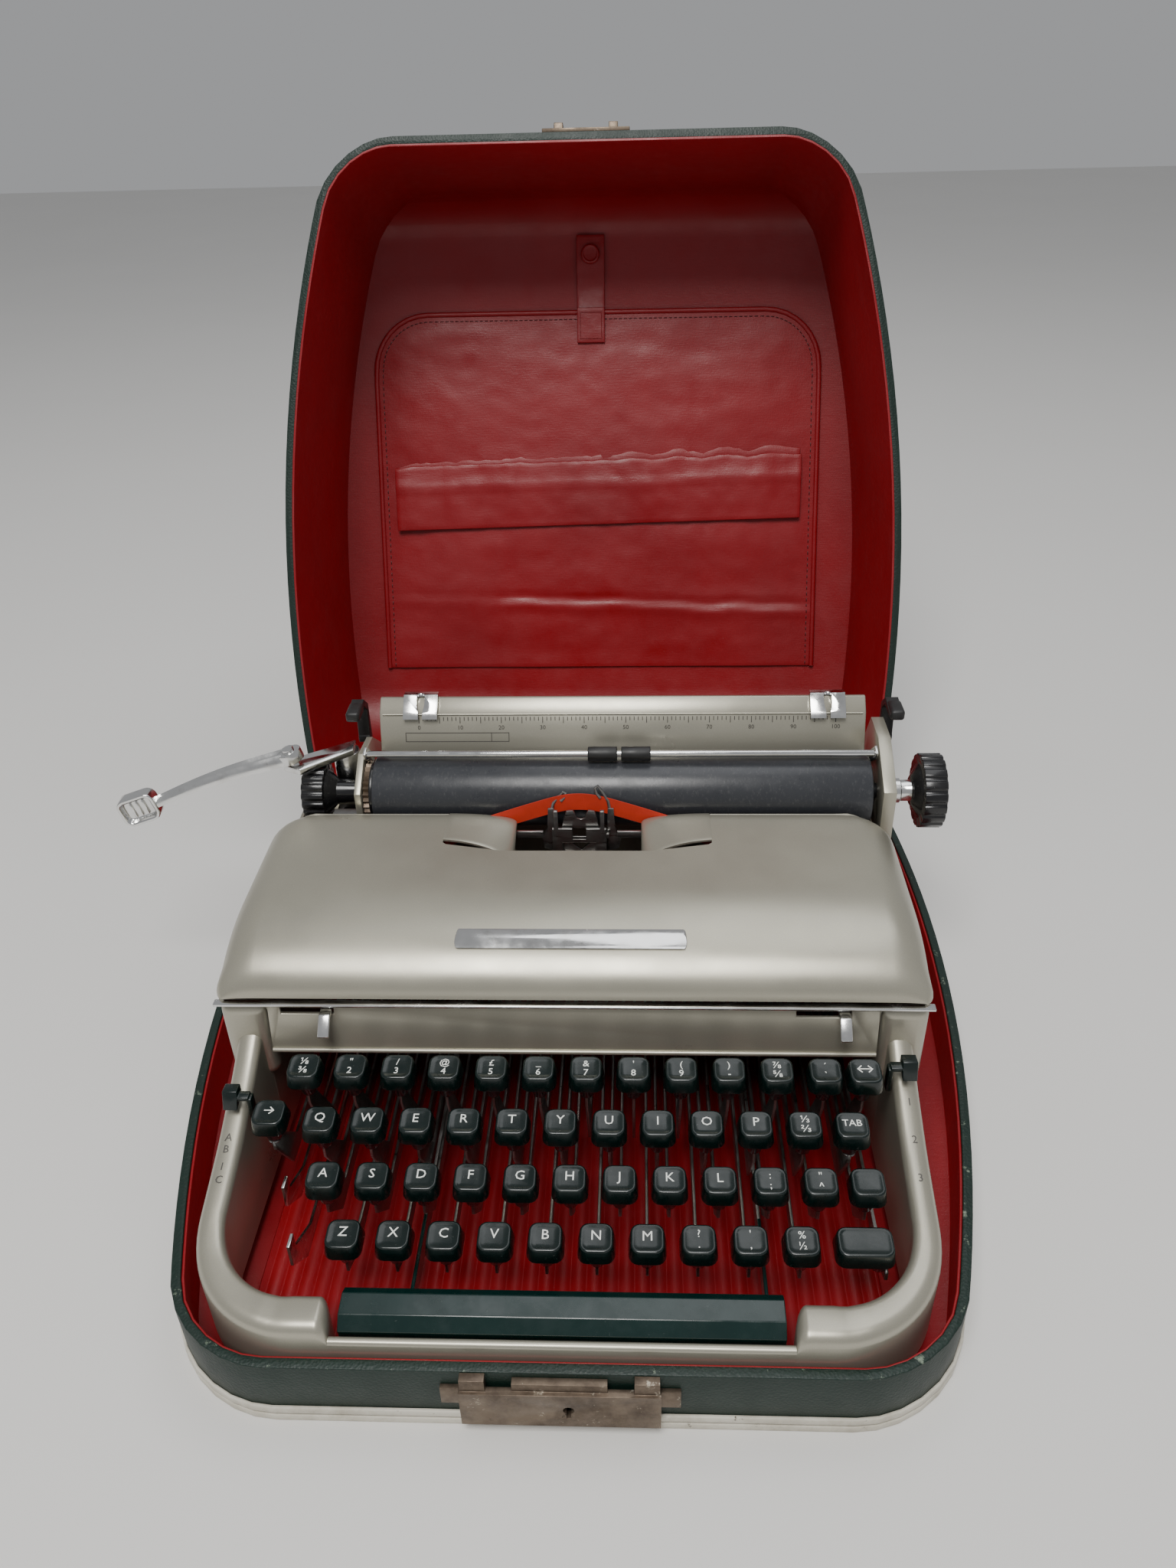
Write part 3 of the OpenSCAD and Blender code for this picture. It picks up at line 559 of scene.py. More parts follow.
EDGE_RADIUS = {
    "case_tray": 1.2, "case_tray_lining": 0.4, "case_tray_piping": 1.4, "case_lid": 1.2,
    "case_lid_lining": 0.4,
    "tray_hinge_leaf": 0, "lid_hinge_leaf": 0, "lock_plate": 0.8, "lid_catch": 0.7, "handle_brackets": 0.5,
    "carry_handle": 2.2, "body_shell": 0.7, "front_panel": 0.4, "trim_strip": 0.4, "rubber_feet": 1.0,
    "frame_screws": 0.3, "carriage_rails": 0.4, "mainspring_drum": 0.6, "fulcrum_rod": 0.3,
    "cover_latch_left": 0.5, "cover_latch_right": 0.5, "ribbon_selector": 0.8, "touch_selector": 0.8,
    "ribbon_spool_left": 0.3, "ribbon_spool_right": 0.3, "segment": 0.2, "typebars": 0.15,
    "roller_truck": 0.3, "carriage_frame": 1.0, "paper_table": 0.5, "platen": 0.8, "platen_knobs": 0.5,
    "paper_bail": 0.4, "bail_rollers": 0.5, "return_lever_bracket": 0.8, "release_lever_left": 0.6,
    "release_lever_right": 0.6, "margin_stop_left": 0.3, "margin_stop_right": 0.3,
    "shift_lock_lever": 0.25, "key_levers_row1": 0.2, "key_levers_row2": 0.2, "key_levers_row3": 0.2,
    "key_levers_row4": 0.2, "badge": 0.6,
}
for node, radius in EDGE_RADIUS.items():
    hand_over(refined(node, radius, clean=radius > 0), BODY_OF[node], SLOT_OF[node], [node])
print("refined", len(EDGE_RADIUS), "pieces of metalwork and case")

# %% [markdown]
# The base frame is a casting that runs round the keyboard as a wide U and climbs to the hood. A
# sweep is the natural tool: one rounded section follows the plan, and its width changes where
# the front bar makes room for the space bar. The plates behind it come from a copy of the frame's
# own shape, cut off where the casting ends.

# %% Frame casting
ARM_OUTER, FRAME_FRONT, FRAME_CORNER, FRAME_LOW, ARM_END = 141.5, -181, 44, 12, -66
ARM_TOP = [(-181, 44.5), (-160, 46.2), (-148, 47.6), (-108, 59.3), (-80, 71.2), (-66, 79.2), (-50, 87.2)]
ARM_WIDTH, BAR_WIDTH, LIP_WIDTH, STEP_OUT, STEP_IN = 10.5, 15, 3.4, 88, 83.5
LIP_DROP = 7.5


def along(points, x):
    for (x0, y0), (x1, y1) in zip(points, points[1:]):
        if x <= x1:
            return y0 + (y1 - y0) * max(0, x - x0) / (x1 - x0)
    return points[-1][1]


def blended(points, x, reach=8):
    return sum(along(points, x + reach * k / 4) for k in range(-4, 5)) / 9


def bar_width(x):
    if x >= STEP_OUT or x <= STEP_IN:
        return BAR_WIDTH if x >= STEP_OUT else LIP_WIDTH
    t = (STEP_OUT - x) / (STEP_OUT - STEP_IN)
    return LIP_WIDTH + (BAR_WIDTH - LIP_WIDTH) * math.sqrt(1 - t * t)


def frame_ring(x, y, nx, ny, width):
    top, inside, outside = blended(ARM_TOP, y), min(3.6, width * 0.46), min(5.2, width * 0.5)
    top -= LIP_DROP * (BAR_WIDTH - width) / (BAR_WIDTH - LIP_WIDTH) if y < FRAME_FRONT + 1 else 0
    section = [(width, FRAME_LOW)]
    for k in range(6):
        a = math.radians(18 * k)
        section.append((width - inside + inside * math.cos(a), top - inside + inside * math.sin(a)))
    for k in range(6):
        a = math.radians(90 + 18 * k)
        section.append((outside + outside * math.cos(a), top - outside + outside * math.sin(a)))
    section.append((0, FRAME_LOW))
    return [(x + nx * u, y + ny * u, z) for u, z in section]


half = [(ARM_OUTER, ARM_END - 71 * k / 14, -1, 0, ARM_WIDTH) for k in range(15)]
for k in range(1, 19):
    a = math.radians(5 * k)
    half.append((ARM_OUTER - FRAME_CORNER * (1 - math.cos(a)), FRAME_FRONT + FRAME_CORNER * (1 - math.sin(a)),
                 -math.cos(a), math.sin(a), ARM_WIDTH + (BAR_WIDTH - ARM_WIDTH) * k / 18))
half += [(x, FRAME_FRONT, 0, 1, bar_width(x))
         for x in (94, 90, 88, 87.6, 87, 86, 85, 84.2, 83.7, 83.5, 70, 40, 10)]
plan = half + [(-x, y, -nx, ny, w) for x, y, nx, ny, w in reversed(half)]
casting = lofted("frame_casting", [frame_ring(*station) for station in plan], closed_rings=True, caps=True)
outward(casting)
smooth(casting, 40)
plates = refined("base_frame", 0, name="frame_plates")
cut_off(plates, (0, ARM_END + 0.2, 0), (0, 1, 0), keep_above=True)
round_edges(plates, 0.4)
smooth(plates)
for piece in (casting, plates):
    hand_over(piece, "case_and_frame", "silver_paint", ["base_frame"])
print("frame casting:", len(casting.data.polygons), "faces")

# %% [markdown]
# Where the hood rests on the body, a rounded shoulder shows at each end above the arms, and the
# panel between them ends in a rolled edge.

# %% Body shoulders
for side in (-1, 1):
    name = "body_shoulder_" + ("left" if side < 0 else "right")
    shoulder = cube(name, (side * 136.8, -55.5, 73), (20.4, 27, 41.8))
    round_edges(shoulder, 5.5, 6)
    smooth(shoulder)
    hand_over(shoulder, "case_and_frame", "silver_paint")
panel_edge = wire("panel_edge", [(x, -71.2, 71.2) for x in (-126, -60, 0, 60, 126)], 1.1, 4)
smooth(panel_edge, 60)
hand_over(panel_edge, "case_and_frame", "silver_paint")

# %% [markdown]
# The hood is one pressed sheet: a quarter-round front, a flat top and round ends. Rings across
# its width, one after another from front to rear, make a skin that stays smooth everywhere. The
# sheet gets its thickness from Solidify, and a Boolean cuts the opening over the type.

# %% Hood
HOOD_HALF, HOOD_LOW, HOOD_TOP, HOOD_FRONT, HOOD_REAR, HOOD_ROUND, HOOD_END = 148, 96, 119.5, -68, 37, 46, 17
OPENING = [(-34, 5.5), (34, 5.5), (60, 10.6), (61.5, 12), (61.5, 45), (-61.5, 45), (-61.5, 12), (-60, 10.6)]


def rear_droop(y):
    return 1.4 * max(0, (y - 30) / 7) ** 2


def hood_top(y):
    if y < HOOD_FRONT + HOOD_ROUND:
        c = 1 - (y - HOOD_FRONT) / HOOD_ROUND
        return HOOD_LOW + 1.2 + (HOOD_TOP - HOOD_LOW - 1.2) * math.sqrt(max(0, 1 - c * c))
    return HOOD_TOP - rear_droop(y)


def hood_half(y):
    if y < -62:
        return HOOD_HALF - 3 * ((-62 - y) / 6) ** 2
    return HOOD_HALF - 12 * (1 - math.sqrt(1 - max(0, min(1, (y - 25) / 12.2)) ** 2))


def hood_ring(y):
    top, reach = hood_top(y), hood_half(y)
    drop = min(HOOD_END, top - HOOD_LOW - 0.2)
    end = [(reach, HOOD_LOW)]
    for k in range(11):
        a = math.radians(9 * k)
        end.append((reach - HOOD_END * (1 - math.cos(a)), top - drop + drop * math.sin(a)))
    inner = reach - HOOD_END
    flat = [(inner * (1 - 2 * k / 30), top) for k in range(1, 30)]
    return [(x, y, z) for x, z in end + flat + [(-x, z) for x, z in reversed(end)]]


front = [HOOD_FRONT + HOOD_ROUND * (1 - math.cos(math.radians(90 * k / 22))) for k in range(23)]
hood_stations = front + [-16, -8, 0, 8, 16, 24, 27, 29, 31, 33, 34.5, 36, HOOD_REAR]
hood = lofted("hood_shell", [hood_ring(y) for y in hood_stations])
outward(hood)
if hood.data.polygons[len(hood.data.polygons) // 2].normal.z < 0:
    edit(hood)
    bpy.ops.mesh.flip_normals()
    leave_edit()
apply_modifier(hood, "SOLIDIFY", thickness=1.5 * MM, offset=-1)
cutter = lofted("opening_cutter", [[(x, y, z) for x, y in OPENING] for z in (90, 130)], True, True)
outward(cutter)
apply_modifier(hood, "BOOLEAN", operation="DIFFERENCE", object=cutter, solver="EXACT")
bpy.data.objects.remove(cutter)
smooth(hood, 50)
hand_over(hood, "hood", "silver_paint", ["top_cover"])
print("hood spans", round(2 * HOOD_HALF), "mm")

# %% [markdown]
# Two lips curl down from the hood on either side of the opening, like the mouth of a scoop. Each
# is a quarter of an elliptical tube that gets deeper towards the typist.

# %% Curled lips and rear edge
def lip_ring(side, t):
    turn = math.radians(98 * t)
    x = 61.6 - 31.6 * math.sin(turn)
    rear, near = 37 - 3.5 * t ** 6, 13.8 - 5 * t + 3 * t ** 6
    ring = []
    for k in range(13):
        y = rear + (near - rear) * k / 12
        depth = 4.5 + 9 * (k / 12) ** 1.2
        ring.append((side * x, y, HOOD_TOP - 0.1 - rear_droop(y) - depth * (1 - math.cos(turn))))
    return ring


for side, name in ((-1, "left"), (1, "right")):
    lip = lofted("hood_lip_" + name, [lip_ring(side, k / 18) for k in range(19)])
    outward(lip)
    apply_modifier(lip, "SOLIDIFY", thickness=1.1 * MM, offset=0)
    round_edges(lip, 0.3, 2, 50)
    smooth(lip, 50)
    hand_over(lip, "hood", "silver_paint")
    edge = [(side * x, 36.7, HOOD_TOP - 1.9) for x in (62, 80, 100, 120)]
    bend = [hood_ring(36.3)[k] for k in range(10, 3, -1)]
    edge += [(side * x, y + 0.3, z - 0.3) for x, y, z in bend]
    rolled = wire("hood_edge_" + name, edge, 0.85)
    smooth(rolled, 60)
    hand_over(rolled, "hood", "silver_paint")

# %% [markdown]
# Behind the opening stand the type guide, its two ribbon fingers and the bar that steadies the
# paper. They are stamped from steel plate, so each starts as a flat outline with its holes.

# %% Type guide and ribbon
def stamped(name, outlines, thickness_mm, y_mm, radius_mm=0.25):
    curve = bpy.data.curves.new(name, "CURVE")
    curve.dimensions = "2D"
    curve.fill_mode = "BOTH"
    curve.extrude = thickness_mm * MM / 2
    for outline in outlines:
        spline = curve.splines.new("POLY")
        spline.points.add(len(outline) - 1)
        spline.use_cyclic_u = True
        for target, (x, z) in zip(spline.points, outline):
            target.co = (x * MM, z * MM, 0, 1)
    obj = bpy.data.objects.new(name, curve)
    bpy.context.collection.objects.link(obj)
    pick(obj)
    bpy.ops.object.convert(target="MESH")
    obj = bpy.context.object
    obj.matrix_world = Matrix.Translation((0, y_mm * MM, 0)) @ Matrix.Rotation(math.radians(90), 4, "X")
    settle(obj)
    outward(obj)
    round_edges(obj, radius_mm)
    smooth(obj)
    return obj


def notch(cx, z, r):
    return [(cx + r * math.cos(a), z + r * math.sin(a)) for a in (math.radians(-22.5 * k) for k in range(9))]


GUIDE_X = 0.8
guide_outline = [(-9, 96), (10, 96), (10, 108), (8.6, 116), (7.5, 120.5), (4.4, 121)]
guide_outline += notch(GUIDE_X, 118.5, 2.4) + [(-2.8, 121), (-6, 120.5), (-7.4, 116), (-9, 108)]
window = [(-6.5, 106), (8, 106), (8, 111), (-6.5, 111)]
vee = [(-4.6, 103.5), (6, 103.5), (0.8, 98)]
guide = stamped("type_guide_plate", [guide_outline, window, vee], 1.2, 36.4)
parts = [guide]
for side in (-1, 1):
    foot = [(side * x + GUIDE_X, z) for x, z in (
        (11, 96), (18, 98), (19, 104), (16.2, 110), (15.6, 121), (12.8, 121), (12.4, 108), (11.4, 102))]
    parts.append(stamped("finger", [foot if side > 0 else foot[::-1]], 1.0, 38.0))
    bend = [(13.8, 38.3, 120), (13, 39.2, 123), (10.5, 40.2, 126), (8.2, 40.6, 128.4), (7, 40.4, 127.6),
            (7.6, 39.8, 125.8), (9.4, 39.2, 124.2)]
    rise = 3.2 if side > 0 else 0
    loop = [(side * x + GUIDE_X, y, z + rise * max(0, z - 120) / 8) for x, y, z in bend]
    parts.append(wire("loop", loop, 0.75))
    clip = [(side * x + GUIDE_X, z) for x, z in ((9, 106), (13.5, 106), (13.5, 108.4), (9, 108.4))]
    parts.append(stamped("clip", [clip], 2.6, 35.6, 0.5))
parts.append(stamped("card_bar", [[(-30, 107.4), (-17, 107.4), (-17, 111), (-30, 111)]], 1.6, 33.6, 0.4))
parts.append(stamped("card_bar", [[(18, 107.4), (31, 107.4), (31, 111), (18, 111)]], 1.6, 33.6, 0.4))
guide = joined("type_guide_plate", parts)
smooth(guide)
hand_over(guide, "type_basket", "plated_steel", ["type_guide"])
hand_over(refined("type_guide", 0.3, name="type_guide_block"), "type_basket", "plated_steel", ["type_guide"])

RIBBON_HALF = [(88, 24, 97), (62, 32, 104), (34, 38.6, 110.5), (20, 39.1, 115), (9, 39.3, 118.6)]
RIBBON = [(-x, y, z) for x, y, z in RIBBON_HALF] + [(0, 39.4, 119.6)] + RIBBON_HALF[::-1]
ribbon = lofted("ribbon_strip", [[(x, y, z + rise) for rise in (0, 3.3, 6.6, 9)] for x, y, z in RIBBON])
apply_modifier(ribbon, "SUBSURF", levels=2, render_levels=2)
apply_modifier(ribbon, "SOLIDIFY", thickness=0.25 * MM, offset=0)
smooth(ribbon, 60)
hand_over(ribbon, BODY_OF["ribbon"], "ribbon_cloth", ["ribbon"])
print("type guide and ribbon ready")

# %% [markdown]
# One key cap is modelled and then copied. A cube gets round corners, tapers towards the top, and
# its top is dished by two insets. Text becomes a mesh before it is set on the dish.

# %% Key caps
CAP_TOP, CAP_TILT, LEGEND = 0.35, 5, 5.6
KEY_ROWS = [(-89.4, 81, -107.3, 13), (-108.5, 71.5, -97.8, 11), (-127.6, 62, -93.5, 12),
            (-146.7, 52.5, -83, 10)]
PITCH = 19.05
LEGENDS = [["⅛|⅜", '"|2', "/|3", "@|4", "£|5", "_|6", "&|7", "'|8", "(|9", ")|-", "⅞|⅝", "´|`", "↔"],
           list("QWERTYUIOP") + ["⅓|⅔"], list("ASDFGHJKL") + [":|;", '"|^', ""],
           list("ZXCVBNM") + ["?|.", "'|,", "%|½"]]


def select_by(obj, test, kind="FACE"):
    edit(obj, kind)
    bpy.ops.mesh.select_all(action="DESELECT")
    mesh = bmesh.from_edit_mesh(obj.data)
    group = {"FACE": mesh.faces, "EDGE": mesh.edges}[kind]
    group.ensure_lookup_table()
    for item in group:
        item.select_set(bool(test(item)))
    bmesh.update_edit_mesh(obj.data)


def model_cap(width=14.4, depth=14.2, height=7.0):
    cap = cube("key_cap", (0, 0, -height / 2), (width, depth, height))
    select_by(cap, lambda e: abs(e.verts[0].co.z - e.verts[1].co.z) > 0.001, "EDGE")
    bpy.ops.mesh.bevel(offset=3.9 * MM, segments=4, affect="EDGES")
    select_by(cap, lambda f: f.normal.z > 0.9)
    bpy.ops.transform.resize(value=(1 - 2.0 / width, 1 - 2.4 / depth, 1))
    bpy.ops.mesh.inset(thickness=0.9 * MM, depth=0)
    bpy.ops.mesh.inset(thickness=0.5 * MM, depth=-0.22 * MM)
    bpy.ops.mesh.inset(thickness=1.6 * MM, depth=-0.13 * MM)
    select_by(cap, lambda f: f.normal.z < -0.9)
    bpy.ops.mesh.inset(thickness=1.2 * MM, depth=0)
    bpy.ops.mesh.inset(thickness=0.1 * MM, depth=-1.5 * MM)
    leave_edit()
    round_edges(cap, 0.75, 3, 40)
    smooth(cap, 50)
    return cap


def model_stem():
    pick(camera)
    bpy.ops.mesh.primitive_cone_add(vertices=18, radius1=2.7 * MM, radius2=5.0 * MM, depth=8.4 * MM,
                                    location=(0, 0.6 * MM, -11.4 * MM))
    stem = bpy.context.object
    settle(stem)
    round_edges(stem, 0.5)
    smooth(stem)
    return stem


def copy_at(obj, place, tilt=0.0):
    copy = bpy.data.objects.new(obj.name + "_copy", obj.data.copy())
    bpy.context.collection.objects.link(copy)
    copy.matrix_world = Matrix.Translation(Vector(place) * MM) @ Matrix.Rotation(math.radians(tilt), 4, "X")
    settle(copy)
    return copy


def legend_at(text, x, y, z):
    lines, marks = text.split("|"), []
    spots = [(2.2, 4.3), (-2.1, 4.3)] if len(lines) == 2 else [(0.8, LEGEND if len(text) < 2 else 4.2)]
    for line, (offset, size) in zip(lines, spots):
        if line:
            place = (x, y + offset, z - CAP_TOP + 0.05 + math.sin(math.radians(CAP_TILT)) * offset)
            marks.append(lettering(line, size, place, CAP_TILT, 0.12))
    return marks


master_cap, master_stem = model_cap(), model_stem()
for row, (y, z, first, count) in enumerate(KEY_ROWS):
    caps, stems, marks = [], [], []
    for i in range(count):
        x = first + i * PITCH - {(0, 12): 3.4, (2, 11): 1.4}.get((row, i), 0)
        caps.append(copy_at(master_cap, (x, y, z), CAP_TILT))
        stems.append(copy_at(master_stem, (x, y, z)))
        marks += legend_at(LEGENDS[row][i], x, y, z)
    body = f"keys_row{row + 1}"
    hand_over(joined(f"caps_row{row + 1}", caps), body, "green_plastic", [f"key_caps_row{row + 1}"])
    hand_over(joined(f"stems_row{row + 1}", stems), body, "black_plastic", [f"key_caps_row{row + 1}"])
    hand_over(joined(f"legends_row{row + 1}", marks), body, "legend_ink", ())
single = [("backspace", (-119.6, -104, 70), "→", "backspace_key"),
          ("tabulator", (110.75, -108.5, 71.5), "TAB", "tabulator_key"),
          ("shift", (111.5, -146.7, 52.5), "", "shift_key")]
for body, place, text, node in single:
    source = model_cap(22.4) if body == "shift" else master_cap
    cap = copy_at(source, place, CAP_TILT)
    if body == "shift":
        bpy.data.objects.remove(source)
    cap.name = body + "_cap"
    hand_over(cap, body, "green_plastic", [node])
    stem = copy_at(master_stem, (place[0] + (6 if body == "shift" else 0), place[1], place[2]))
    stem.name = body + "_stem"
    hand_over(stem, body, "black_plastic", [node])
    if text:
        mark = joined(body + "_legend", legend_at(text, *place))
        hand_over(mark, body, "legend_ink", ())
    lever = refined(node, 0, name=body + "_lever")
    cut_off(lever, (0, 0, place[2] - 15.5), (0, 0, 1))
    hand_over(lever, body, "plated_steel", [node])
for master in (master_cap, master_stem):
    bpy.data.objects.remove(master)
BAR_UNDERSIDE = 30.2
for name, finish, above in (("space_bar_top", "bar_plastic", True),
                            ("space_bar_arms", "plated_steel", False)):
    piece = refined("space_bar", 0, name=name)
    cut_off(piece, (0, 0, BAR_UNDERSIDE), (0, 0, 1), keep_above=above)
    round_edges(piece, 1.5 if above else 0.2, 4 if above else 2)
    smooth(piece, 40)
    hand_over(piece, "space_key", finish, ["space_bar"])
print("keys made:", sum(row[3] for row in KEY_ROWS) + 3)

# %% [markdown]
# The inside of the lid is lined in red vinyl. A sewn pocket fills most of it, with a padded welt
# round its edge, and a folded band lies across it. They are soft sheets, so each is a grid whose
# points are moved by rules for the bulge, the creases and the wrinkles, and then given
# the thickness of the cloth.

# %% Lid frame and soft sheets
LID_ANGLE, HINGE_Y, LID_FLOOR = -108, 187, 132.8
OPEN_LID = (Matrix.Translation(Vector((0, HINGE_Y, RIM_Z)) * MM)
            @ Matrix.Rotation(math.radians(LID_ANGLE), 4, "X")
            @ Matrix.Translation(Vector((0, -HINGE_Y, 0)) * MM))


def place_mesh(obj, matrix):
    pick(obj)
    obj.data.transform(matrix)
    obj.data.update()


def wobble(x, y, scale, seed=0.0):
    return noise.noise(Vector((x / scale, y / scale, seed)))


def soft_grid(name, width_at, y0, y1, rows, columns, height_at, thickness_mm, edge_at=None):
    """A sheet in the closed lid's frame: x across, y down the lid, raised above its floor."""
    rings = []
    for j in range(rows + 1):
        y = y0 + (y1 - y0) * j / rows
        ring = []
        for i in range(columns + 1):
            x = width_at(y) * (2 * i / columns - 1)
            shift = edge_at(x, y) if edge_at else 0
            ring.append((x, y + shift, LID_FLOOR - height_at(x, y)))
        rings.append(ring)
    obj = lofted(name, rings)
    outward(obj)
    apply_modifier(obj, "SOLIDIFY", thickness=thickness_mm * MM, offset=0)
    round_edges(obj, thickness_mm * 0.3, 2, 60)
    smooth(obj, 60)
    return obj


# %% [markdown]
# The pocket has round upper corners. Its lower half sags forward a little and has one sharp
# crease running across it, where papers have bent it.

# %% Pocket
POCKET_HALF, POCKET_TOP, POCKET_LOW, POCKET_CORNER = 151, -114, 126, 38


def pocket_half(y):
    d = max(0, POCKET_CORNER - (y - POCKET_TOP))
    rounding = math.sqrt(max(1, POCKET_CORNER ** 2 - d * d)) - POCKET_CORNER
    return POCKET_HALF + (y - POCKET_TOP) / 120 + rounding


def pocket_height(x, y):
    across = max(0, 1 - (x / 150) ** 2)
    down = (y - POCKET_TOP) / (POCKET_LOW - POCKET_TOP)
    sag = 2.6 * across * math.sin(math.pi * min(1, down * 1.05)) ** 0.8
    line = 78 + 0.035 * x + 3 * wobble(x, 0, 30, 7)
    crease = -1.3 * math.exp(-((y - line) / 2.2) ** 2) + 1.2 * math.exp(-((y - line - 5) / 4) ** 2)
    crease *= 1 if x > -70 else 0.25
    folds = 0.9 * wobble(x * 0.4, y, 26, 1) + 0.35 * wobble(x, y, 9, 2)
    near_welt = min(1, (pocket_half(y) - abs(x)) / 14, (y - POCKET_TOP) / 14)
    return 1.6 + (sag + crease + folds) * max(0, near_welt)


def pocket_outline(inset, step=6):
    right = []
    corner = POCKET_CORNER - inset
    for k in range(9):
        a = math.radians(90 * k / 8)
        right.append((POCKET_HALF - POCKET_CORNER + corner * math.sin(a),
                      POCKET_TOP + POCKET_CORNER - corner * math.cos(a)))
    steps = int((POCKET_LOW - POCKET_TOP - POCKET_CORNER) / step)
    for k in range(1, steps + 1):
        y = POCKET_TOP + POCKET_CORNER + (POCKET_LOW - POCKET_TOP - POCKET_CORNER) * k / steps
        right.append((pocket_half(y) - inset, y))
    top = [(x, POCKET_TOP + inset) for x in range(-105, 106, 10)]
    return [(-x, y) for x, y in reversed(right)] + top + right


pocket = soft_grid("lid_pocket_sheet", pocket_half, POCKET_TOP, POCKET_LOW, 84, 72, pocket_height, 1.0)
place_mesh(pocket, OPEN_LID)
hand_over(pocket, "lid", "red_vinyl", ["lid_pocket"])
welt = wire("lid_pocket_welt", [(x, y, LID_FLOOR - 1.9) for x, y in pocket_outline(1.6)], 1.7)
place_mesh(welt, OPEN_LID)
smooth(welt, 60)
hand_over(welt, "lid", "red_vinyl", ["lid_pocket"])
STITCH = ((-1.2, -.3, 0), (1.2, -.3, 0), (1.2, .3, 0), (-1.2, .3, 0), (0, 0, .3))
STITCH_PITCH = 3.6
stitches, seam = [], pocket_outline(6, 4)
for (x0, y0), (x1, y1) in zip(seam, seam[1:]):
    length = math.hypot(x1 - x0, y1 - y0)
    count = max(1, round(length / STITCH_PITCH))
    for k in range(count):
        t = (k + 0.5) / count
        x, y = x0 + (x1 - x0) * t, y0 + (y1 - y0) * t
        dx, dy = (x1 - x0) / length, (y1 - y0) / length
        z = LID_FLOOR - pocket_height(x, y) - 0.62
        stitches.append([(x + u * dx - v * dy, y + u * dy + v * dx, z - w) for u, v, w in STITCH])
points = [p for s in stitches for p in s]
faces = [tuple(5 * n + k for k in f) for n in range(len(stitches))
         for f in ((3, 2, 1, 0), (0, 1, 4), (1, 2, 4), (2, 3, 4), (3, 0, 4))]
thread = from_points("lid_pocket_stitches", points, faces)
outward(thread)
place_mesh(thread, OPEN_LID)
hand_over(thread, "lid", "dark_thread", ())
print("pocket with", len(stitches), "stitches")

# %% [markdown]
# The band is a strip folded over on itself, so its upper edge is uneven and an under layer shows.

# %% Folded band
def band_height(x, y):
    t = (y + 17) / 43
    fold = 0.8 * math.sin(math.pi * t) + 0.9 * wobble(x, y * 0.6, 24, 4) + 0.5 * wobble(x, y, 8, 5)
    return 6.2 + fold + 0.8 * math.exp(-((t - 0.35 - 0.1 * wobble(x, 0, 60, 3)) / 0.06) ** 2)


def ragged(x, y):
    upper = max(0, 1 - (y + 17) / 12)
    return upper * (1.6 * wobble(x, 0, 16, 6) + 0.7 * wobble(x, 0, 5, 8)) - 0.022 * x


band = soft_grid("lid_band", lambda y: 139.5, -17, 26, 14, 90, band_height, 1.6, ragged)
place_mesh(band, OPEN_LID)
hand_over(band, "lid", "red_vinyl", ["lid_pocket"])
under = soft_grid("lid_band_under", lambda y: 138.6, -20.5, 22, 10, 80,
                  lambda x, y: 4.2 + 0.5 * wobble(x, y, 18, 9), 1.2, lambda x, y: 1.5 * ragged(x, y))
place_mesh(under, OPEN_LID)
hand_over(under, "lid", "red_vinyl", ["lid_pocket"])

# %% [markdown]
# A short strap closes the pocket: a loose tongue under a press stud, and a tab sewn to the pocket.

# %% Strap
STRAP_X = -3
strap = soft_grid("pocket_strap_sheet", lambda y: 9.2, -160, -112, 26, 10,
                  lambda x, y: 2.3 + 0.9 * math.sin((y + 160) / 7) * (0.4 + (y + 160) / 90)
                  + 0.5 * wobble(x, y, 7, 11), 1.2)
tab = soft_grid("strap_tab", lambda y: 9.2, -115, -93, 10, 10,
                lambda x, y: 4.6 + 0.3 * wobble(x, y, 6, 12), 1.2)
seam_corners = [(-7, -112), (7, -112), (7, -95.5), (-7, -95.5)]
tab_seam = wire("tab_seam", [(x, y, LID_FLOOR - 5.4) for x, y in seam_corners], 0.35, 2, True)
stud = drum("strap_stud", 6.2, LID_FLOOR - 5.3, LID_FLOOR - 3.5, -148, 32)
select_by(stud, lambda f: f.normal.z < -0.9)
bpy.ops.mesh.inset(thickness=1.3 * MM, depth=0.8 * MM)
bpy.ops.mesh.inset(thickness=0.8 * MM, depth=-0.6 * MM)
leave_edit()
round_edges(stud, 0.35)
smooth(stud)
for piece in (strap, tab, tab_seam, stud):
    place_mesh(piece, OPEN_LID @ Matrix.Translation((STRAP_X * MM, 0, 0)))
strap_tab = joined("strap_tab", [tab, tab_seam])
hand_over(strap, "lid", "red_vinyl", ["pocket_strap"])
hand_over(strap_tab, "lid", "red_vinyl")
hand_over(stud, "lid", "red_vinyl", ["pocket_strap"])
print("band and strap ready")

# %% [markdown]
# The tray's floor is a red board moulded in ribs that run away from the typist.

# %% Ribbed floor board
RIB_PITCH, BOARD_HALF = 6.4, 124
ribs = [[(-BOARD_HALF + RIB_PITCH * k / 4, y, 8.4 + 1.1 * math.cos(math.pi * k / 2))
         for k in range(int(8 * BOARD_HALF / RIB_PITCH) + 1)] for y in (-164, -120, -60, 0)]
board = lofted("tray_board", ribs)
outward(board)
apply_modifier(board, "SUBSURF", levels=1, render_levels=1)
apply_modifier(board, "SOLIDIFY", thickness=1.5 * MM, offset=-1)
smooth(board, 60)
hand_over(board, "case_and_frame", "red_vinyl")

# %% [markdown]
# The paper table carries a scale: ticks, a number at every tenth tick and a label frame.

# %% Scale on the paper table
def on_table(z):
    return 76 + (z - 128.6) * 7 / 19.4 - 0.12


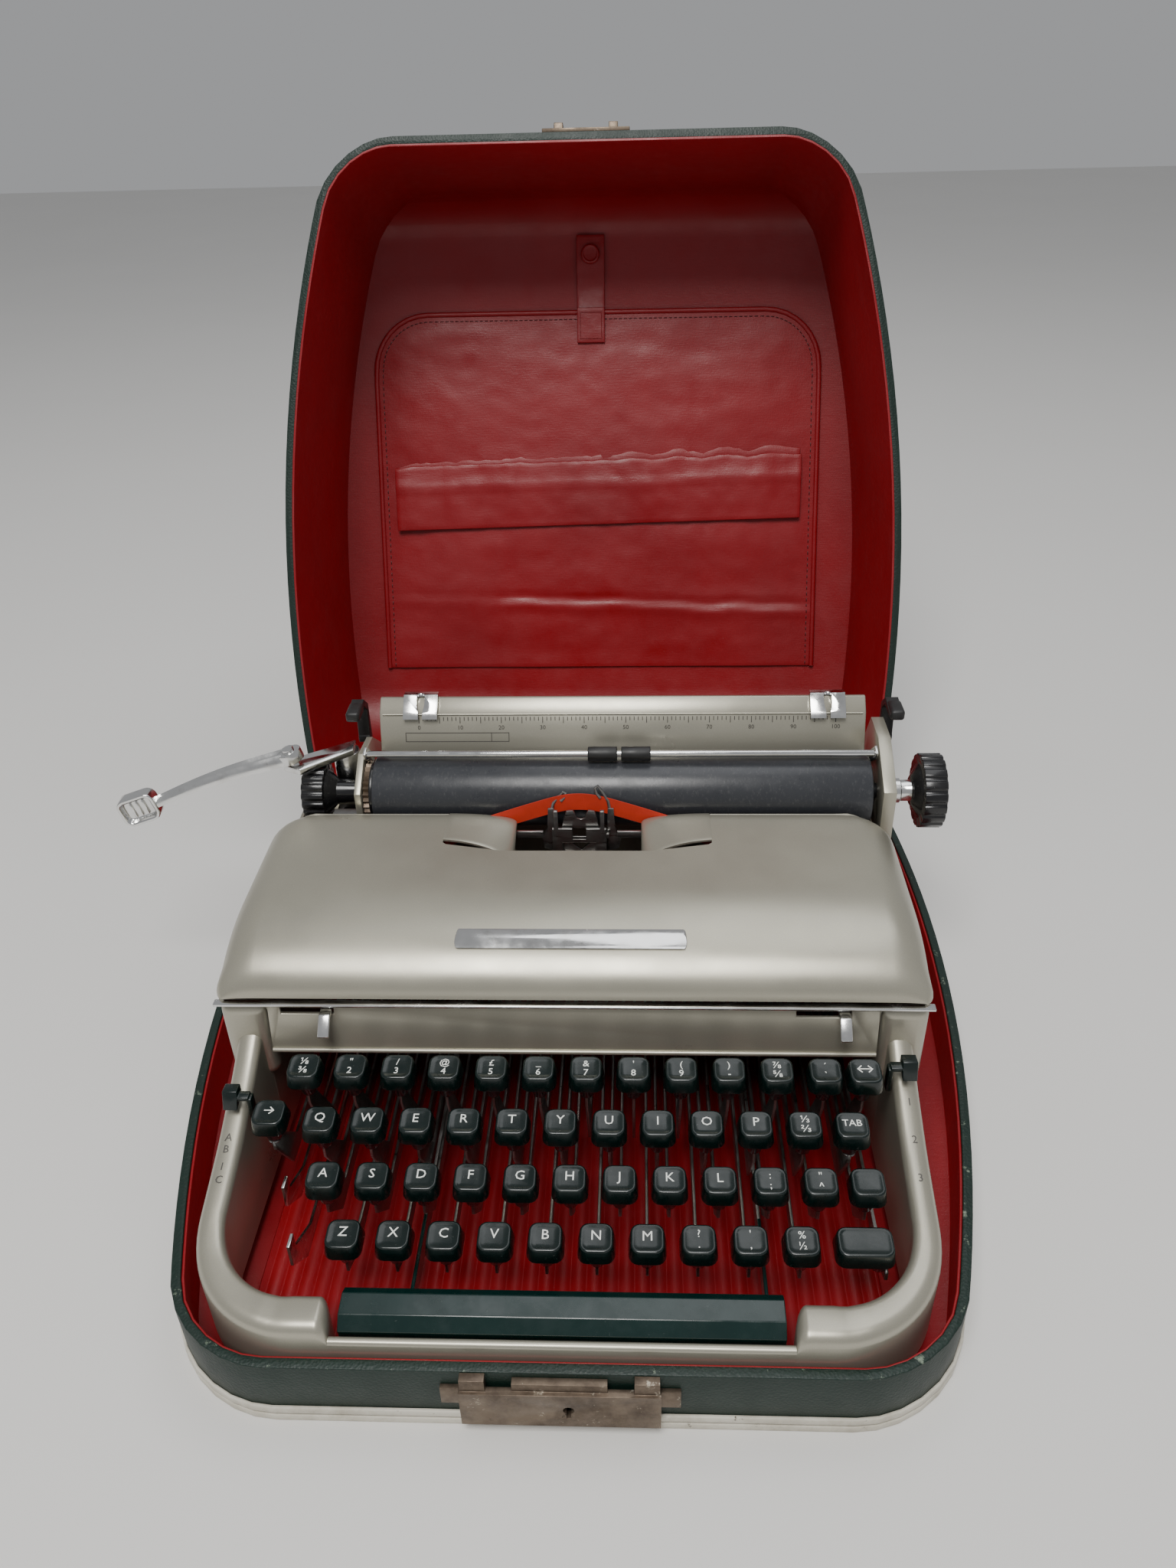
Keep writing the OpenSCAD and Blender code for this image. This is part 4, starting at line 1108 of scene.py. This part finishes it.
def stroke(x0, z0, x1, z1):
    return [(x, on_table(z), z) for x, z in ((x0, z0), (x1, z0), (x1, z1), (x0, z1))]


TABLE_TILT, SCALE_LEFT, SCALE_STEP, TICK_HALF, TICK_TOP, NUMBER_Z = 70, -81, 2.06, 0.17, 146, 140.9
LABEL_LEFT, LABEL_LOW, LABEL_RIGHT, LABEL_HIGH, LINE = -88, 134.2, -36, 138.6, 0.3
ticks = []
for k in range(101):
    x, low = SCALE_LEFT + k * SCALE_STEP, 144.2 if k % 5 else 143.0
    ticks.append(stroke(x - TICK_HALF, low, x + TICK_HALF, TICK_TOP))
for z in (LABEL_LOW, LABEL_HIGH - LINE):
    ticks.append(stroke(LABEL_LEFT, z, LABEL_RIGHT, z + LINE))
for x in (LABEL_LEFT, LABEL_RIGHT - LINE, -45):
    ticks.append(stroke(x, LABEL_LOW, x + LINE, LABEL_HIGH))
scale = from_points("scale_ticks", [p for t in ticks for p in t],
                    [(4 * n, 4 * n + 1, 4 * n + 2, 4 * n + 3) for n in range(len(ticks))])
apply_modifier(scale, "SOLIDIFY", thickness=0.05 * MM, offset=1)
numbers = []
for k in range(0, 101, 10):
    place = (SCALE_LEFT + k * SCALE_STEP, on_table(NUMBER_Z), NUMBER_Z)
    numbers.append(lettering(str(k), 3.0, place, TABLE_TILT, 0.05))
scale = joined("scale_ticks", [scale] + numbers)
hand_over(scale, "carriage", "scale_ink", ())
crease = wire("paper_table_crease", [(x, on_table(147.2) - 0.1, 147.2) for x in (-99, 0, 138)], 0.45)
smooth(crease, 60)
hand_over(crease, "carriage", "silver_paint")

# %% [markdown]
# Letters on the left arm and numbers on the right arm mark the two selectors' places.

# %% Marks on the arms
marks = []
for text, side, y in (("S", -1, -94.4), ("A", -1, -108.3), ("B", -1, -112.9), ("I", -1, -119.7),
                      ("C", -1, -124.8), ("1", 1, -92), ("2", 1, -106), ("3", 1, -120.5)):
    slope = math.degrees(math.atan2(blended(ARM_TOP, y + 2) - blended(ARM_TOP, y - 2), 4))
    marks.append(lettering(text, 4.4, (side * 136.4, y, blended(ARM_TOP, y) + 0.05), slope, 0.08))
hand_over(joined("arm_marks", marks), "case_and_frame", "scale_ink", ())

# %% [markdown]
# The return lever is a long chromed arm, ribbed along its top, with a cupped thumb piece. It
# hangs on a knuckle whose pin leans outwards, so everything is drawn upright and then leaned.

# %% Return lever
LEVER_YAW, LEVER_DROP, LEVER_LENGTH, THUMB_Z = 6.5, 17, 80, 7.4
KNUCKLE = (Matrix.Translation(Vector((-137, 54, 133.2)) * MM)
           @ Matrix.Rotation(math.radians(-LEVER_DROP), 4, "Y")
           @ Matrix.Rotation(math.radians(LEVER_YAW), 4, "Z"))
RIBBED = [(1, 0), (1, .55), (.82, .8), (.62, 1), (.42, .8), (.2, .62)]
arm_rings = []
for k in range(25):
    t = k / 24
    x, wide, thick = -3 - 69 * t, 5.0 - 1.9 * t, 5.8 - 1.9 * t
    base = 5.4 + 2.4 * math.sin(math.pi * t) * 0.8
    section = [(-u, v) for u, v in RIBBED] + [(0, .58)] + RIBBED[::-1]
    arm_rings.append([(x, wide * u, base + thick * v) for u, v in section])
arm = lofted("return_lever_arm_piece", arm_rings, True, True)
outward(arm)
hub_parts = []
for radius, low, high in ((6, 5.2, 10.6), (3.0, 10.4, 12.4)):
    hub_parts.append(drum("knuckle_hub", radius, low, high))
    round_edges(hub_parts[-1], 0.5)
thumb = cube("thumb_piece", (-LEVER_LENGTH, 0, THUMB_Z), (19, 7.6, 15))
select_by(thumb, lambda e: abs(e.verts[0].co.y - e.verts[1].co.y) > 0.001, "EDGE")
bpy.ops.mesh.bevel(offset=4.4 * MM, segments=5, affect="EDGES")
select_by(thumb, lambda f: f.normal.y < -0.9)
bpy.ops.mesh.inset(thickness=1.6 * MM, depth=0)
bpy.ops.mesh.inset(thickness=1.2 * MM, depth=-2.6 * MM)
leave_edit()
round_edges(thumb, 0.6, 3)
ridges = []
for x in (-3.2, 0, 3.2):
    ridge = cube("thumb_ridge", (x - LEVER_LENGTH, -1.4, THUMB_Z), (1.3, 1.6, 8))
    round_edges(ridge, 0.5)
    ridges.append(ridge)
arm = joined("return_lever", [arm] + hub_parts + [thumb] + ridges)
place_mesh(arm, KNUCKLE)
smooth(arm, 40)
hand_over(arm, "lever_arm", "chrome", ["return_lever_arm"])

# %% [markdown]
# Small turned parts finish the carriage: a chrome hub, a dark cone inside each knob, a toothed
# brass ring at the platen's left end, chrome screws, and rubber tips on the release levers.

# %% Carriage details
def turned(name, stations, y, z, sides=40):
    """A turned part along X: stations are (x, radius)."""
    rings = [[(x, y + r * math.cos(2 * math.pi * k / sides), z + r * math.sin(2 * math.pi * k / sides))
              for k in range(sides)] for x, r in stations]
    obj = lofted(name, rings, True, True)
    outward(obj)
    smooth(obj, 40)
    return obj


PLATEN_Y, PLATEN_Z = 58, 118
hub = turned("knob_hub_right", [(149.2, 5.2), (149.6, 6), (154, 6), (154.6, 5.2), (161, 5.2), (162.9, 6.6)],
             PLATEN_Y, PLATEN_Z)
hand_over(hub, "platen_roll", "chrome")
cone = turned("knob_boss_right", [(159.4, 7), (160, 8), (163.2, 13.6), (164, 14)], PLATEN_Y, PLATEN_Z)
hand_over(cone, "platen_roll", "black_plastic")
cone = turned("knob_boss_left", [(-124.6, 11), (-124, 10.4), (-119.6, 6), (-110, 5.4)], PLATEN_Y, PLATEN_Z)
hand_over(cone, "platen_roll", "black_plastic")
teeth = []
for x in (-104.6, -100.3):
    teeth.append([(x, PLATEN_Y + r * math.cos(a), PLATEN_Z + r * math.sin(a))
                  for k in range(60) for r, a in ((13.2 if k % 2 else 14.8, 2 * math.pi * k / 60),)])
ratchet = lofted("ratchet_ring", teeth, True, True)
outward(ratchet)
smooth(ratchet, 20)
hand_over(ratchet, "platen_roll", "aged_brass")
screws = []
for x, y, z in ((148.9, 46, 128), (148.9, 66, 136)):
    screws.append(turned("plate_screw", [(x, 2.2), (x + 0.3, 2.2), (x + 0.5, 1.7)], y, z, 20))
hand_over(joined("plate_screws", screws), "carriage", "chrome")
for body, x in (("release_left", -112.4), ("release_right", 153.3)):
    tip = cube(body + "_tip", (x, 80.6, 149.7), (6.8, 12.5, 5.2))
    round_edges(tip, 1.5, 3)
    smooth(tip)
    hand_over(tip, body, "rubber")
print("carriage details ready")

# %% [markdown]
# The floor is a plain pale plane. It is not part of the object.

# %% Floor
bpy.ops.mesh.primitive_plane_add(size=9, location=(0, 0, 0))
floor = bpy.context.object
floor.name = "floor"
floor_finish = Finish("pale_floor", (0.74, 0.73, 0.71), 0.6)
floor_finish.tint(floor_finish.spread(floor_finish.noise(3, 3), 0.3, 0.7, 0, 0.25), (0.68, 0.67, 0.65))
floor.data.materials.append(floor_finish.done())
